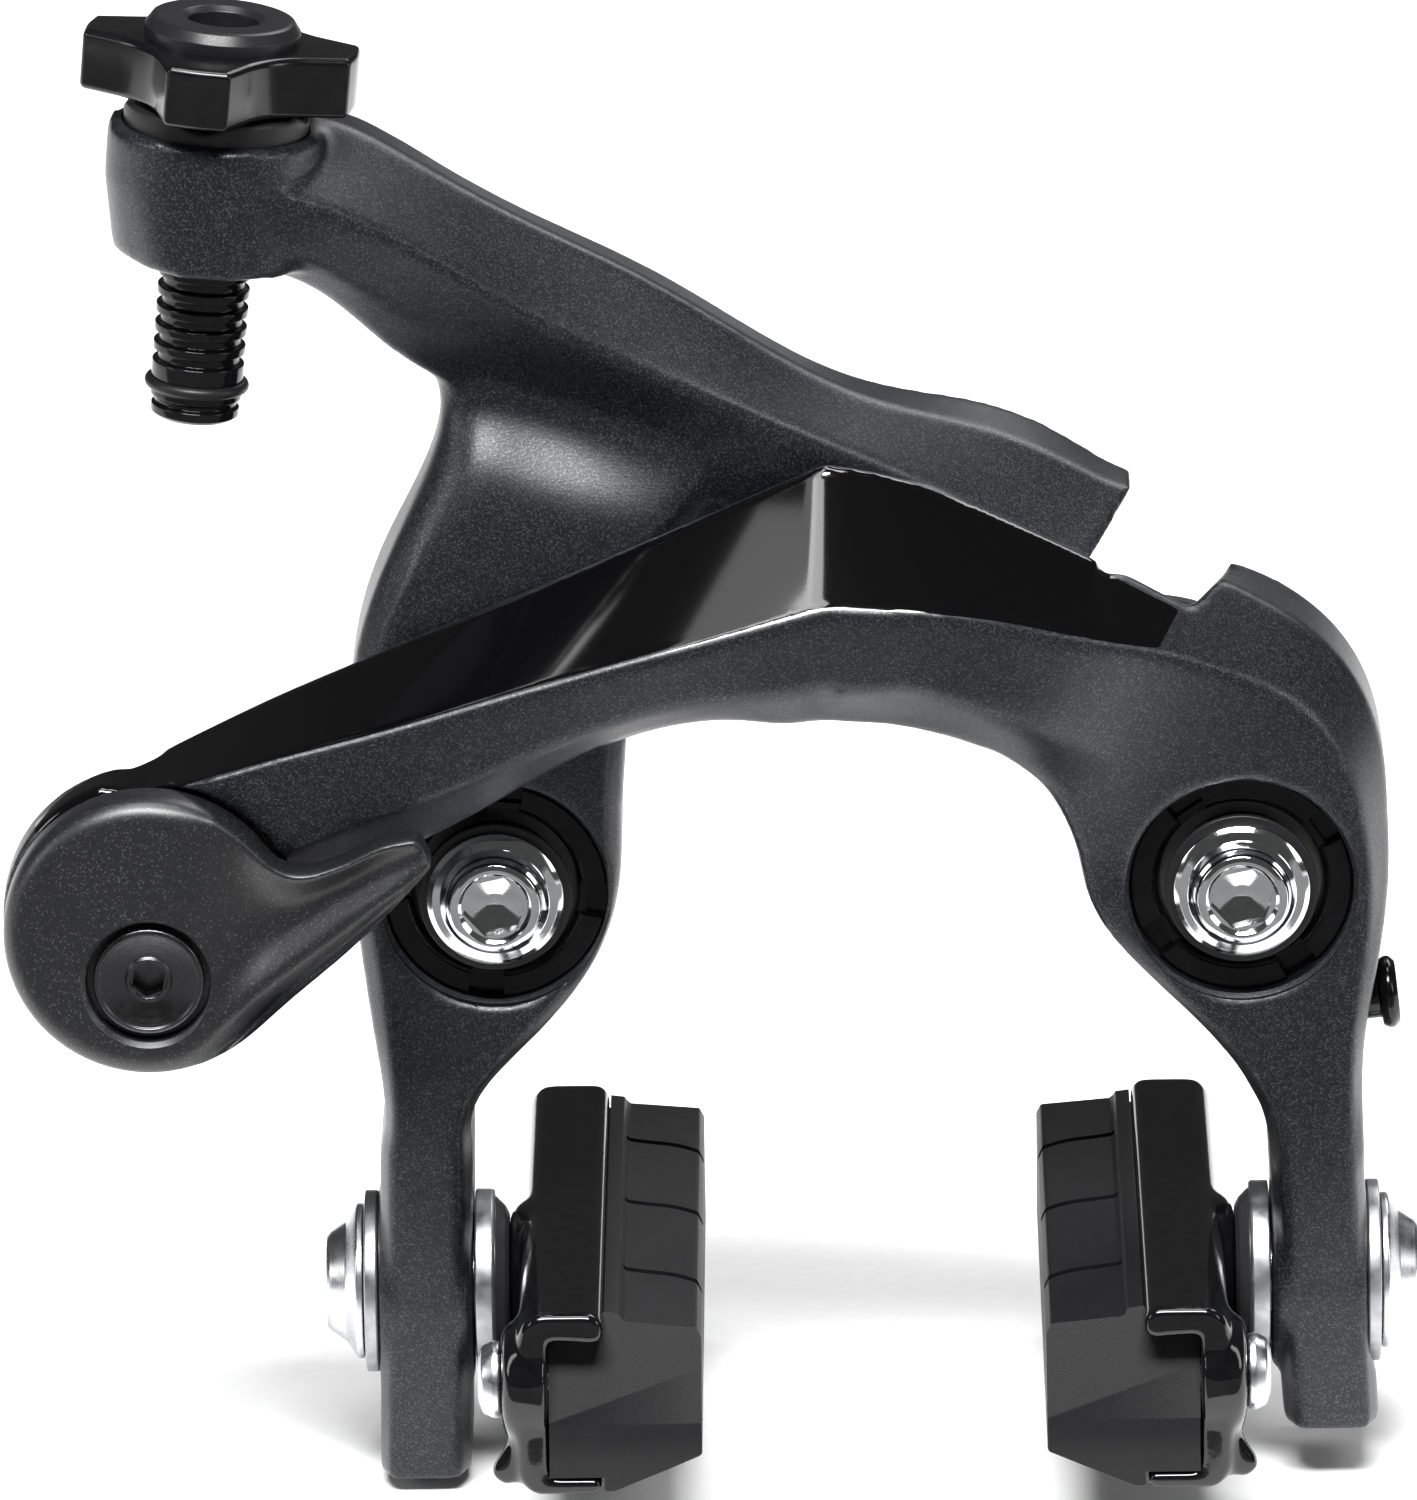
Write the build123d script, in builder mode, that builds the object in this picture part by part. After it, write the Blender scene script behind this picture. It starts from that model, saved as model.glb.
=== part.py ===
from build123d import *
import math
import os

os.makedirs("parts", exist_ok=True)

# Rim brake caliper for direct mounting.  Millimetres.
# Origin: midway between the two mounting bolts, on the plane that meets the frame or fork.
# +Z points up, away from the wheel axle, and the front of the brake faces -Y.

# ---- mounting and pivots ----
BOLT_SPACING = 56.0
PIVOT_X = BOLT_SPACING / 2
STUD_R = 3.0
STUD_LENGTH = 11.0
SHANK_R = 2.68
SLEEVE_R = 5.0
SLEEVE_FLANGE_R = 7.5
SLEEVE_FLANGE = 1.0
SLEEVE_FRONT = -15.0
WASHER_R = 5.75
WASHER_FRONT = -15.6
HEAD_FLANGE_R = 5.15
HEAD_RIM_FRONT = -16.5
HEAD_TOP_R = 3.5
HEAD_FRONT = -18.4
HEAD_HEX = 4.0
HEAD_HEX_DEPTH = 3.0

BUSH_R = 6.2
BUSH_FRONT = -12.6
BUSH_BACK = -2.6
RUN_CLEARANCE = 0.05
RING_R = 8.45
RING_HOLE_R = 6.25
RING_FRONT = -14.2
RING_NOTCH = 1.5
RING_LAND = 0.15
RING_TURN = {"left": 84.0, "right": 34.0}

BOSS_BACK = -2.4
BOSS_FRONT = {"left": -14.5, "right": -15.2}
SPRING_POCKET_R = 8.2
SPRING_POCKET_FRONT = -8.0

SPRING_WIRE_R = 0.6
SPRING_COIL_R = 7.3
SPRING_START = -3.4
SPRING_TURNS = 2.75
SPRING_PITCH = 1.45

PLATE_FRONT = -2.2
PLATE_BACK = -1.0
PLATE_EYE_R = 9.2
PLATE_HALF_WIDTH = 3.6
PLATE_HOOK_R = 1.0

# ---- wheel side: legs and shoes ----
SHOE_BOLT_Y = -10.0
SHOE_BOLT_Z = -32.3
SHOE_LENGTH = 54.0
SHOE_TOP = -26.0
SHOE_BOTTOM = -40.0
PAD_FACE_X = 12.85
PAD_STEP_X = 18.8
HOLDER_LIP_X = 20.1
HOLDER_WALL_X = 24.3
HOLDER_BACK_X = 26.6
LEG_INNER_X = 30.2
LEG_OUTER_X = 37.45
SLOT_R = 3.1
SLOT_TRAVEL = 5.0
WASHER_DISC_R = 6.9
SEAT_R = 7.2
SHOE_BOLT_R = 3.0
PAD_SCREW_Y = -33.4
PAD_SCREW_Z = -32.0
PAD_SCREW_R = 1.25
PAD_SCREW_HEAD_R = 2.9
PAD_SCREW_SEAT_X = 27.8
CONVEX_X = 27.5
CONVEX_NEAR_R = 5.0
CONVEX_FAR_R = 6.3
INNER_WASHER_X = 28.6
OUTER_WASHER_X = 38.6
BOLT_FLANGE_R = 5.9
BOLT_FLANGE = 0.9
BOLT_HEAD_R = 4.7
BOLT_HEAD = 1.9
HOLDER_SHEET = 1.3
HOLDER_TOP_SHEET = 1.9
HOLDER_BOSS_R = 6.4
HOLDER_SCREW_BOSS_R = 4.3
PAD_STOP = 3.0
PAD_GROOVES = (-22.0, -6.5, 8.0)
PAD_GROOVE = 0.8
PAD_GROOVE_DEPTH = 1.3

# ---- link between the two arms ----
ROLLER_Z = 23.8
ROLLER_R = 4.0
ROLLER_FRONT = -14.3
ROLLER_BACK = -5.0
ROLLER_PIN_R = 1.5
ROLLER_PIN_FRONT = -17.8
ROLLER_PIN_HEAD_R = 2.6
LINK_GAP = 0.06
LINK_TRACK_R = 24.5

BRIDGE_BACK = -15.4
STEP_FRONT = -17.8
STEP_FALL = 18.0

# ---- centring screw, in the outer side of the right arm ----
CENTRING_R = 1.9
CENTRING_TILT = 6.0
CENTRING_X = 37.6
CENTRING_Y = -9.0
CENTRING_Z = -10.6
CENTRING_FLANGE_R = 2.75

# ---- quick release and cable anchor ----
LEVER_X = -53.6
LEVER_Z = 1.2
LEVER_R = 10.8
LEVER_BACK = -24.3
LEVER_FRONT = -29.0
LEVER_RIM = 1.1
TAIL_BACK = -25.7
TAIL_FRONT = -28.0
LUG_FRONT = -24.1
LUG_BACK = -14.0
LUG_STEP = -19.5
LUG_BACK_R = 9.2
HUB_R = 7.4
HUB_BACK = -13.8
ANCHOR_DROP = 3.3
ANCHOR_R = 2.5
ANCHOR_HEAD_R = 4.05
CLAMP_FACE = -12.0
CLAMP_R = 6.6
CLAMP_PLATE_BACK = -10.5
NUT_BACK = -7.9
NUT_FLATS = 8.0
ANCHOR_BACK = -7.6
ANCHOR_HEAD_DEPTH = 1.5
CABLE_R = 0.8
CABLE_OFFSET = 3.1
CABLE_TILT = 2.7

# ---- barrel adjuster ----
CABLE_Y = -12.0
ADJ_TILT = 5.4
ADJ_X = -48.23
ADJ_Z = 54.2
LUG_R = 8.0
LUG_LOW = -4.8
LUG_TOP = 5.3
BARREL_R = 3.45
BARREL_LOW = -17.3
COLLAR_R = 6.9
COLLAR_LOW = 4.0
COLLAR_TOP = 7.2
KNOB_LOW = 7.3
KNOB_TOP = 11.9
KNOB_LOBE_MID = 7.7
KNOB_CORE_R = 7.2
CAP_TOP = 13.5
CAP_R = 5.8
SOCKET_R = 2.6
SOCKET_LOW = 7.6
CABLE_HOLE_R = 1.2
THREAD_RINGS = 6
THREAD_PITCH = 1.45
THREAD_GROOVE = 0.75
THREAD_DEPTH = 0.45
THREAD_LOW = 4.3
O_RING_LOW = 2.55
O_RING_R = 0.43
ADJ_TURN = 82
CAP_NECK_R = 3.35


# ---- small helpers ----
def front_plane(x, y, z, turn=0.0):
    """Plane whose normal faces the front (-Y), with local X along +X turned by `turn` degrees."""
    turn_x = (math.cos(math.radians(turn)), 0, math.sin(math.radians(turn)))
    return Plane(origin=(x, y, z), x_dir=turn_x, z_dir=(0, -1, 0))


def side_plane(side, x, y, z):
    """Plane whose normal points away from the wheel on the given side."""
    return Plane(origin=(side * x, y, z), x_dir=(0, side, 0), z_dir=(side, 0, 0))


def adjuster_plane(height):
    tilt = math.radians(ADJ_TILT)
    up = (math.sin(tilt), 0, math.cos(tilt))
    origin = (ADJ_X + up[0] * height, CABLE_Y, ADJ_Z + up[2] * height)
    return Plane(origin=origin, x_dir=(up[2], 0, -up[0]), z_dir=up)


def rod(plane, radius, length):
    with BuildPart() as piece:
        with BuildSketch(plane):
            Circle(radius)
        extrude(amount=length)
    return piece.part


def section_plane(foot, head):
    dx = head[0] - foot[0]
    dz = head[1] - foot[1]
    size = math.hypot(dx, dz)
    along = (dx / size, 0, dz / size)
    return Plane(origin=(foot[0], 0, foot[1]), x_dir=along, z_dir=(-along[2], 0, along[0]))


def arm_loft(sections):
    """Loft through cross-sections, each given as (foot xz, head xz, [(share of height, y), ...])."""
    with BuildPart() as body:
        for foot, head, corners in sections:
            height = math.hypot(head[0] - foot[0], head[1] - foot[1])
            with BuildSketch(section_plane(foot, head)):
                with BuildLine():
                    Polyline(*[(share * height, y) for share, y in corners], close=True)
                make_face()
        loft()
    return body.part


def ridged(back, back_head, head_y, ridge, ridge_y, low, low_y, foot_y):
    """Corners of a section whose front has a ridge between its upper and lower faces."""
    return [(0, back), (back_head, back), (1, head_y), (ridge, ridge_y), (low, low_y), (0, foot_y)]


def boxed(back, front, bevel=0.12, side=2.2):
    """Corners of a plain section whose two front edges are bevelled."""
    return [(0, back), (1, back), (1, front + side), (1 - bevel, front), (bevel, front), (0, front + side)]


# ---- arms ----
def pivot_cuts(side):
    x = -PIVOT_X if side == "left" else PIVOT_X
    return [
        back_trim(),
        rod(front_plane(x, BOSS_FRONT[side], 0), RING_R + RING_LAND, 6),
        rod(front_plane(x, 1, 0), BUSH_R, 30),
        rod(front_plane(x, BUSH_FRONT, 0), RING_R, 12),
        rod(front_plane(x, BOSS_BACK + 1, 0), SPRING_POCKET_R, BOSS_BACK + 1 - SPRING_POCKET_FRONT),
    ]


def back_trim():
    """Everything behind the rear face shared by both arms."""
    with BuildPart() as block:
        with BuildSketch(front_plane(0, BOSS_BACK + 8, 0)):
            Rectangle(160, 160)
        extrude(amount=8)
    return block.part


def shoe_slot(side):
    with BuildPart() as slot:
        with BuildSketch(side_plane(side, LEG_INNER_X - 4, SHOE_BOLT_Y, SHOE_BOLT_Z)):
            SlotCenterToCenter(SLOT_TRAVEL, 2 * SLOT_R, rotation=90)
        extrude(amount=16)
    return slot.part


def leg_seat(side):
    """Flat boss round the shoe bolt, which the washers bear on."""
    return rod(side_plane(side, LEG_INNER_X, SHOE_BOLT_Y, SHOE_BOLT_Z), SEAT_R, LEG_OUTER_X - LEG_INNER_X)


def seat_clearance(side):
    inner = rod(side_plane(side, LEG_INNER_X - 3, SHOE_BOLT_Y, SHOE_BOLT_Z), SEAT_R, 3)
    outer = rod(side_plane(side, LEG_OUTER_X, SHOE_BOLT_Y, SHOE_BOLT_Z), SEAT_R, 3)
    return [inner, outer]


def flat_back():
    """Space behind the front arm's bridge, which keeps it clear of the rear arm."""
    with BuildPart() as block:
        with BuildSketch(front_plane(0, BRIDGE_BACK + 12, 0)):
            with Locations((-17.0, 20.0)):
                Rectangle(50, 60)
            with Locations((12.0, 36.0)):
                Rectangle(9.6, 27.4)
        extrude(amount=12)
    return block.part


def right_arm():
    lower = [
        ((-59.8, 1.0), (-61.2, 8.6), ridged(-19.0, 0.95, -22.4, 0.97, -24.2, 0.4, -24.2, -23.5)),
        ((-50.0, -2.0), (-52.5, 12.4), ridged(-16.0, 0.93, -18.0, 0.95, -25.6, 0.4, -25.4, -24.0)),
        ((-41.5, 2.5), (-44.6, 16.1), ridged(-15.0, 0.9, -17.0, 0.85, -26.0, 0.35, -25.3, -22.0)),
        ((-33.5, 6.0), (-36.5, 19.6), ridged(-15.0, 0.9, -17.0, 0.75, -26.0, 0.3, -25.0, -21.0)),
        ((-23.5, 11.4), (-26.5, 23.8), ridged(-15.0, 0.9, -17.0, 0.62, -26.0, 0.22, -24.6, -20.5)),
        ((-12.6, 14.7), (-14.5, 28.9), ridged(-15.0, 0.93, -17.0, 0.53, -26.0, 0.2, -24.3, -20.0)),
        ((-2.7, 15.8), (-2.9, 34.0), ridged(-15.0, 0.95, -17.0, 0.51, -26.0, 0.18, -24.2, -20.0)),
    ]
    upper = [
        ((-2.7, 15.8), (-2.9, 34.0), ridged(-15.0, 0.95, -17.0, 0.51, -26.0, 0.18, -24.2, -20.0)),
        ((1.6, 15.4), (2.6, 32.8), ridged(-15.0, 0.94, -17.0, 0.54, -25.9, 0.18, -24.1, -20.0)),
        ((6.4, 13.8), (9.2, 29.9), ridged(-15.0, 0.93, -17.0, 0.64, -25.2, 0.2, -23.7, -19.7)),
        ((11.4, 10.5), (17.4, 25.4), ridged(-9.5, 0.72, -16.6, 0.76, -23.0, 0.25, -22.0, -18.8)),
        ((14.3, 6.8), (26.0, 23.4), ridged(-2.4, 0.93, -12.0, 0.76, -19.6, 0.3, -19.0, -17.0)),
        ((15.6, 3.4), (32.4, 18.9), ridged(-2.4, 1.0, -11.5, 0.82, -17.6, 0.25, -17.2, -16.0)),
        ((16.3, 0.0), (37.6, 11.0), ridged(-2.4, 1.0, -11.5, 0.88, -16.4, 0.2, -16.2, -15.4)),
        ((18.0, -3.6), (39.2, 2.4), ridged(-2.4, 1.0, -12.0, 0.92, -15.8, 0.12, -15.7, -15.2)),
        ((21.6, -8.0), (38.6, -5.0), boxed(-2.4, -15.8, 0.08, 2.0)),
        ((26.2, -12.6), (37.5, -11.0), boxed(-2.6, -16.4, 0.1, 2.0)),
        ((29.4, -17.6), (37.1, -17.0), boxed(-3.0, -17.0)),
        ((30.1, -22.5), (37.2, -22.5), boxed(-3.2, -17.2)),
    ]
    leg = [
        ((30.1, -22.5), (37.2, -22.5), boxed(-3.2, -17.2)),
        ((31.1, -42.8), (38.3, -42.8), boxed(-3.6, -17.1)),
    ]
    lug = rod(front_plane(LEVER_X, LUG_STEP, LEVER_Z), LEVER_R + 0.2, LUG_STEP - LUG_FRONT)
    lug_back = rod(front_plane(LEVER_X, LUG_BACK, LEVER_Z - 0.8), LUG_BACK_R, LUG_BACK - LUG_STEP + 0.5)
    arm = arm_loft(lower) + arm_loft(upper) + arm_loft(leg) + lug + lug_back - flat_back()
    arm = arm - seat_clearance(1)[0] - seat_clearance(1)[1] + leg_seat(1)
    for cutter in pivot_cuts("right") + [shoe_slot(1)]:
        arm -= cutter
    arm -= rod(front_plane(LEVER_X, LUG_FRONT, LEVER_Z), LEVER_R + 0.3, 6)
    arm -= rod(front_plane(LEVER_X, LUG_BACK + 1, LEVER_Z), HUB_R + RUN_CLEARANCE, 12)
    arm -= rod(front_plane(0, ROLLER_FRONT + 1, ROLLER_Z), ROLLER_PIN_R, 6)
    arm -= rod(centring_plane(-4.5), CENTRING_R, 6)
    return arm - shoulder_step()


def shoulder_step():
    """Wedge cut from the top of the front arm where the panel ends, falling towards the back."""
    fall = math.radians(STEP_FALL)
    with BuildPart() as step:
        with BuildSketch(Plane(origin=(0, STEP_FRONT, 0), x_dir=(1, 0, 0), z_dir=(0, -1, 0))):
            Polygon((16.2, 27.3), (24.3, 22.8), (27.4, 26.0), (27.4, 40.0), (16.2, 40.0), align=None)
        extrude(amount=30, dir=(0, math.cos(fall), -math.sin(fall)))
    return step.part


def centring_plane(out):
    """Plane across the centring screw; `out` is the distance beyond the arm's outer face."""
    tilt = math.radians(CENTRING_TILT)
    along = (math.cos(tilt), 0, math.sin(tilt))
    origin = (CENTRING_X + along[0] * out, CENTRING_Y, CENTRING_Z + along[2] * out)
    return Plane(origin=origin, x_dir=(0, 1, 0), z_dir=along)


def left_arm():
    leg = [
        ((-30.6, -46.0), (-37.5, -46.0), boxed(-3.6, -17.1)),
        ((-30.05, -20.0), (-37.05, -20.0), boxed(-3.2, -17.2)),
    ]
    stem = [
        ((-30.05, -20.0), (-37.05, -20.0), boxed(-3.2, -17.2)),
        ((-28.8, -15.2), (-36.9, -14.4), boxed(-3.0, -16.9)),
        ((-23.8, -10.2), (-37.8, -8.6), boxed(-2.6, -15.8, 0.1, 2.0)),
        ((-20.6, -5.9), (-38.3, -4.8), boxed(-2.5, -15.3, 0.08, 2.0)),
        ((-18.8, -0.8), (-38.8, -0.2), boxed(-2.5, -15.2, 0.07, 2.0)),
        ((-18.4, 6.0), (-38.9, 7.0), boxed(-2.4, -15.1, 0.07, 2.0)),
        ((-17.9, 13.0), (-38.6, 16.0), boxed(-2.4, -14.8, 0.08, 2.0)),
        ((-16.8, 20.0), (-37.0, 22.4), boxed(-2.6, -14.5, 0.1, 2.2)),
        ((-13.0, 27.0), (-34.2, 28.6), boxed(-2.8, -14.0, 0.12, 2.4)),
        ((-9.0, 33.0), (-31.7, 35.0), boxed(-3.0, -12.2, 0.14, 2.4)),
        ((-10.0, 38.0), (-33.2, 41.0), boxed(-3.2, -11.4, 0.14, 2.4)),
    ]
    bar = [
        ((-49.2, 49.6), (-47.6, 58.4), ridged(-5.5, 1.0, -9.0, 0.78, -18.6, 0.3, -18.8, -17.0)),
        ((-43.4, 48.4), (-40.6, 59.2), ridged(-4.5, 0.97, -9.5, 0.63, -18.4, 0.25, -17.6, -14.5)),
        ((-37.2, 43.6), (-33.2, 55.9), ridged(-3.6, 0.95, -9.8, 0.66, -17.2, 0.25, -14.6, -12.0)),
        ((-28.2, 37.0), (-22.6, 49.9), ridged(-3.2, 0.94, -9.8, 0.64, -15.6, 0.28, -12.2, -10.5)),
        ((-16.0, 32.2), (-11.2, 43.5), ridged(-3.0, 0.94, -9.6, 0.62, -14.6, 0.3, -12.4, -11.0)),
        ((-5.0, 27.4), (0.0, 37.0), ridged(-3.0, 0.97, -9.0, 0.72, -14.6, 0.35, -14.2, -13.2)),
        ((2.0, 25.8), (6.2, 35.0), ridged(-3.0, 1.04, -8.8, 0.62, -14.6, 0.3, -14.4, -13.6)),
        ((9.0, 24.6), (13.4, 32.4), ridged(-3.0, 1.07, -8.6, 0.45, -14.6, 0.22, -14.4, -13.6)),
        ((15.2, 23.6), (20.2, 29.2), ridged(-3.2, 1.04, -8.4, 0.35, -14.5, 0.15, -14.4, -13.8)),
    ]
    lug = rod(adjuster_plane(LUG_LOW), LUG_R, LUG_TOP - LUG_LOW)
    arm = arm_loft(leg) + arm_loft(stem) + arm_loft(bar) + lug
    arm = arm - seat_clearance(-1)[0] - seat_clearance(-1)[1] + leg_seat(-1)
    for cutter in pivot_cuts("left") + [shoe_slot(-1)]:
        arm -= cutter
    arm -= rod(adjuster_plane(LUG_LOW - 4), BARREL_R + 0.1, 30)
    arm -= rod(adjuster_plane(COLLAR_LOW), COLLAR_R, 10)
    return arm - link_track()


def link_track():
    """Space swept by the roller under the left arm: a round track with a small gap over the roller."""
    track_r = LINK_TRACK_R + ROLLER_R + LINK_GAP
    with BuildPart() as track:
        with BuildSketch(front_plane(0, ROLLER_BACK + 4, 0)):
            with Locations((0, ROLLER_Z - LINK_TRACK_R)):
                Circle(track_r)
            with Locations((2.2, ROLLER_Z)):
                Rectangle(19, 16, mode=Mode.INTERSECT)
        extrude(amount=16)
    return track.part


# ---- pivot hardware ----
def pivot_sleeve(x):
    with BuildPart() as sleeve:
        with BuildSketch(front_plane(x, 0, 0)):
            Circle(SLEEVE_FLANGE_R)
        extrude(amount=SLEEVE_FLANGE)
        with BuildSketch(front_plane(x, 0, 0)):
            Circle(SLEEVE_R)
        extrude(amount=-SLEEVE_FRONT)
        with BuildSketch(front_plane(x, 1, 0)):
            Circle(STUD_R + 0.1)
        extrude(amount=30, mode=Mode.SUBTRACT)
    return sleeve.part


def mounting_bolt(x):
    with BuildPart() as bolt:
        with BuildSketch(front_plane(x, STUD_LENGTH, 0)):
            Circle(STUD_R)
        extrude(amount=STUD_LENGTH)
        with BuildSketch(front_plane(x, 0, 0)):
            Circle(SHANK_R)
        extrude(amount=-WASHER_FRONT)
        with BuildSketch(front_plane(x, WASHER_FRONT, 0)):
            Circle(HEAD_FLANGE_R)
        extrude(amount=WASHER_FRONT - HEAD_RIM_FRONT)
        with BuildSketch(front_plane(x, HEAD_RIM_FRONT, 0)):
            Circle(HEAD_FLANGE_R - 0.25)
        with BuildSketch(front_plane(x, HEAD_FRONT, 0)):
            Circle(HEAD_TOP_R)
        loft()
        with BuildSketch(front_plane(x, HEAD_FRONT + HEAD_HEX_DEPTH, 0)):
            RegularPolygon(HEAD_HEX / 2, 6, major_radius=False, rotation=12)
        extrude(amount=HEAD_HEX_DEPTH, mode=Mode.SUBTRACT)
        with BuildSketch(front_plane(x, HEAD_FRONT, 0)):
            Circle(HEAD_HEX / 2 + 0.45)
        extrude(amount=-0.45, taper=45, mode=Mode.SUBTRACT)
    return bolt.part


def ring_of(plane, outer, inner, length):
    with BuildPart() as ring:
        with BuildSketch(plane):
            Circle(outer)
            Circle(inner, mode=Mode.SUBTRACT)
        extrude(amount=length)
    return ring.part


def bush(side):
    x = PIVOT_X * side
    return ring_of(front_plane(x, BUSH_BACK, 0), BUSH_R, SLEEVE_R + RUN_CLEARANCE, BUSH_BACK - BUSH_FRONT)


def lock_ring(side, name):
    with BuildPart() as ring:
        plane = front_plane(PIVOT_X * side, BUSH_FRONT, 0, RING_TURN[name])
        with BuildSketch(plane):
            Circle(RING_R)
            Circle(RING_HOLE_R, mode=Mode.SUBTRACT)
        extrude(amount=BUSH_FRONT - RING_FRONT)
        with BuildSketch(plane.offset(0.7)):
            with PolarLocations(RING_R, 4):
                Rectangle(2.6, RING_NOTCH)
        extrude(amount=3, mode=Mode.SUBTRACT)
    return ring.part


def link_plate():
    with BuildPart() as plate:
        with BuildSketch(front_plane(0, PLATE_BACK, 0)):
            with BuildLine():
                Spline((-PIVOT_X, 0), (-20.0, 15.5), (0, 24.5), (20.0, 15.5), (PIVOT_X, 0),
                       tangents=[(0, 1), (0, -1)])
            trace(line_width=2 * PLATE_HALF_WIDTH)
            with Locations((-PIVOT_X, 0), (PIVOT_X, 0)):
                Circle(PLATE_EYE_R)
            with Locations((-PIVOT_X, 0), (PIVOT_X, 0)):
                Circle(SLEEVE_R, mode=Mode.SUBTRACT)
        extrude(amount=PLATE_BACK - PLATE_FRONT)
        with BuildSketch(front_plane(0, PLATE_BACK, 0)):
            with Locations((-PIVOT_X, -SPRING_COIL_R), (PIVOT_X, -SPRING_COIL_R)):
                Circle(PLATE_HOOK_R)
        extrude(amount=PLATE_BACK - PLATE_FRONT, mode=Mode.SUBTRACT)
    return plate.part


def return_spring(side):
    """Coil round the bush, with its tail hooked through the link plate."""
    x = PIVOT_X * side
    height = SPRING_TURNS * SPRING_PITCH
    with BuildPart() as spring:
        with BuildLine():
            coil = Helix(SPRING_PITCH, height, SPRING_COIL_R, center=(x, SPRING_START, 0), direction=(0, -1, 0))
        with BuildSketch(Plane(origin=coil @ 0, z_dir=coil % 0)):
            Circle(SPRING_WIRE_R)
        sweep()
    hook = rod(Plane(origin=coil @ 0 + Vector(0, 1.9, 0), z_dir=(0, -1, 0)), SPRING_WIRE_R, 2.2)
    return spring.part + hook


# ---- shoes ----
def shoe_outline(side, x_near, x_far, z_low, z_high, y_front, y_back):
    """Block from x_near (wheel side) to x_far, for one side of the wheel."""
    with BuildPart() as block:
        with BuildSketch(Plane.XY.offset(z_low)):
            with Locations((side * (x_near + x_far) / 2, (y_front + y_back) / 2)):
                Rectangle(x_far - x_near, y_back - y_front)
        extrude(amount=z_high - z_low)
    return block.part


def shoe_holder(side):
    front = SHOE_BOLT_Y - SHOE_LENGTH / 2
    back = SHOE_BOLT_Y + SHOE_LENGTH / 2
    with BuildPart() as holder:
        with BuildSketch(Plane.XZ.offset(-back)):
            with BuildLine():
                Polyline(
                    (side * HOLDER_LIP_X, SHOE_BOTTOM),
                    (side * (HOLDER_BACK_X - 1.2), SHOE_BOTTOM),
                    (side * HOLDER_BACK_X, SHOE_BOTTOM + 1.2),
                    (side * HOLDER_BACK_X, SHOE_TOP - 1.6),
                    (side * (HOLDER_BACK_X - 1.6), SHOE_TOP),
                    (side * (HOLDER_LIP_X + 1.0), SHOE_TOP),
                    (side * HOLDER_LIP_X, SHOE_TOP - 1.0),
                    (side * HOLDER_LIP_X, SHOE_TOP - HOLDER_TOP_SHEET),
                    (side * HOLDER_WALL_X, SHOE_TOP - HOLDER_TOP_SHEET),
                    (side * HOLDER_WALL_X, SHOE_BOTTOM + HOLDER_SHEET),
                    (side * HOLDER_LIP_X, SHOE_BOTTOM + HOLDER_SHEET),
                    close=True,
                )
            make_face()
        extrude(amount=back - front)
        with BuildSketch(side_plane(side, HOLDER_WALL_X, SHOE_BOLT_Y, SHOE_BOLT_Z)):
            Circle(HOLDER_BOSS_R)
        extrude(amount=HOLDER_BACK_X + 0.9 - HOLDER_WALL_X, taper=12)
        with BuildSketch(side_plane(side, HOLDER_WALL_X, PAD_SCREW_Y, PAD_SCREW_Z)):
            Circle(HOLDER_SCREW_BOSS_R)
        extrude(amount=PAD_SCREW_SEAT_X - HOLDER_WALL_X)
        with BuildSketch(side_plane(side, HOLDER_WALL_X - 1, SHOE_BOLT_Y, SHOE_BOLT_Z)):
            Circle(SHOE_BOLT_R)
        extrude(amount=8, mode=Mode.SUBTRACT)
        with BuildSketch(side_plane(side, HOLDER_WALL_X - 6, PAD_SCREW_Y, PAD_SCREW_Z)):
            Circle(PAD_SCREW_R)
        extrude(amount=14, mode=Mode.SUBTRACT)
    low = SHOE_BOTTOM + HOLDER_SHEET
    top = SHOE_TOP - HOLDER_TOP_SHEET
    end_wall = shoe_outline(side, HOLDER_LIP_X, HOLDER_WALL_X, low, top, back - PAD_STOP, back)
    return holder.part + end_wall


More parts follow.
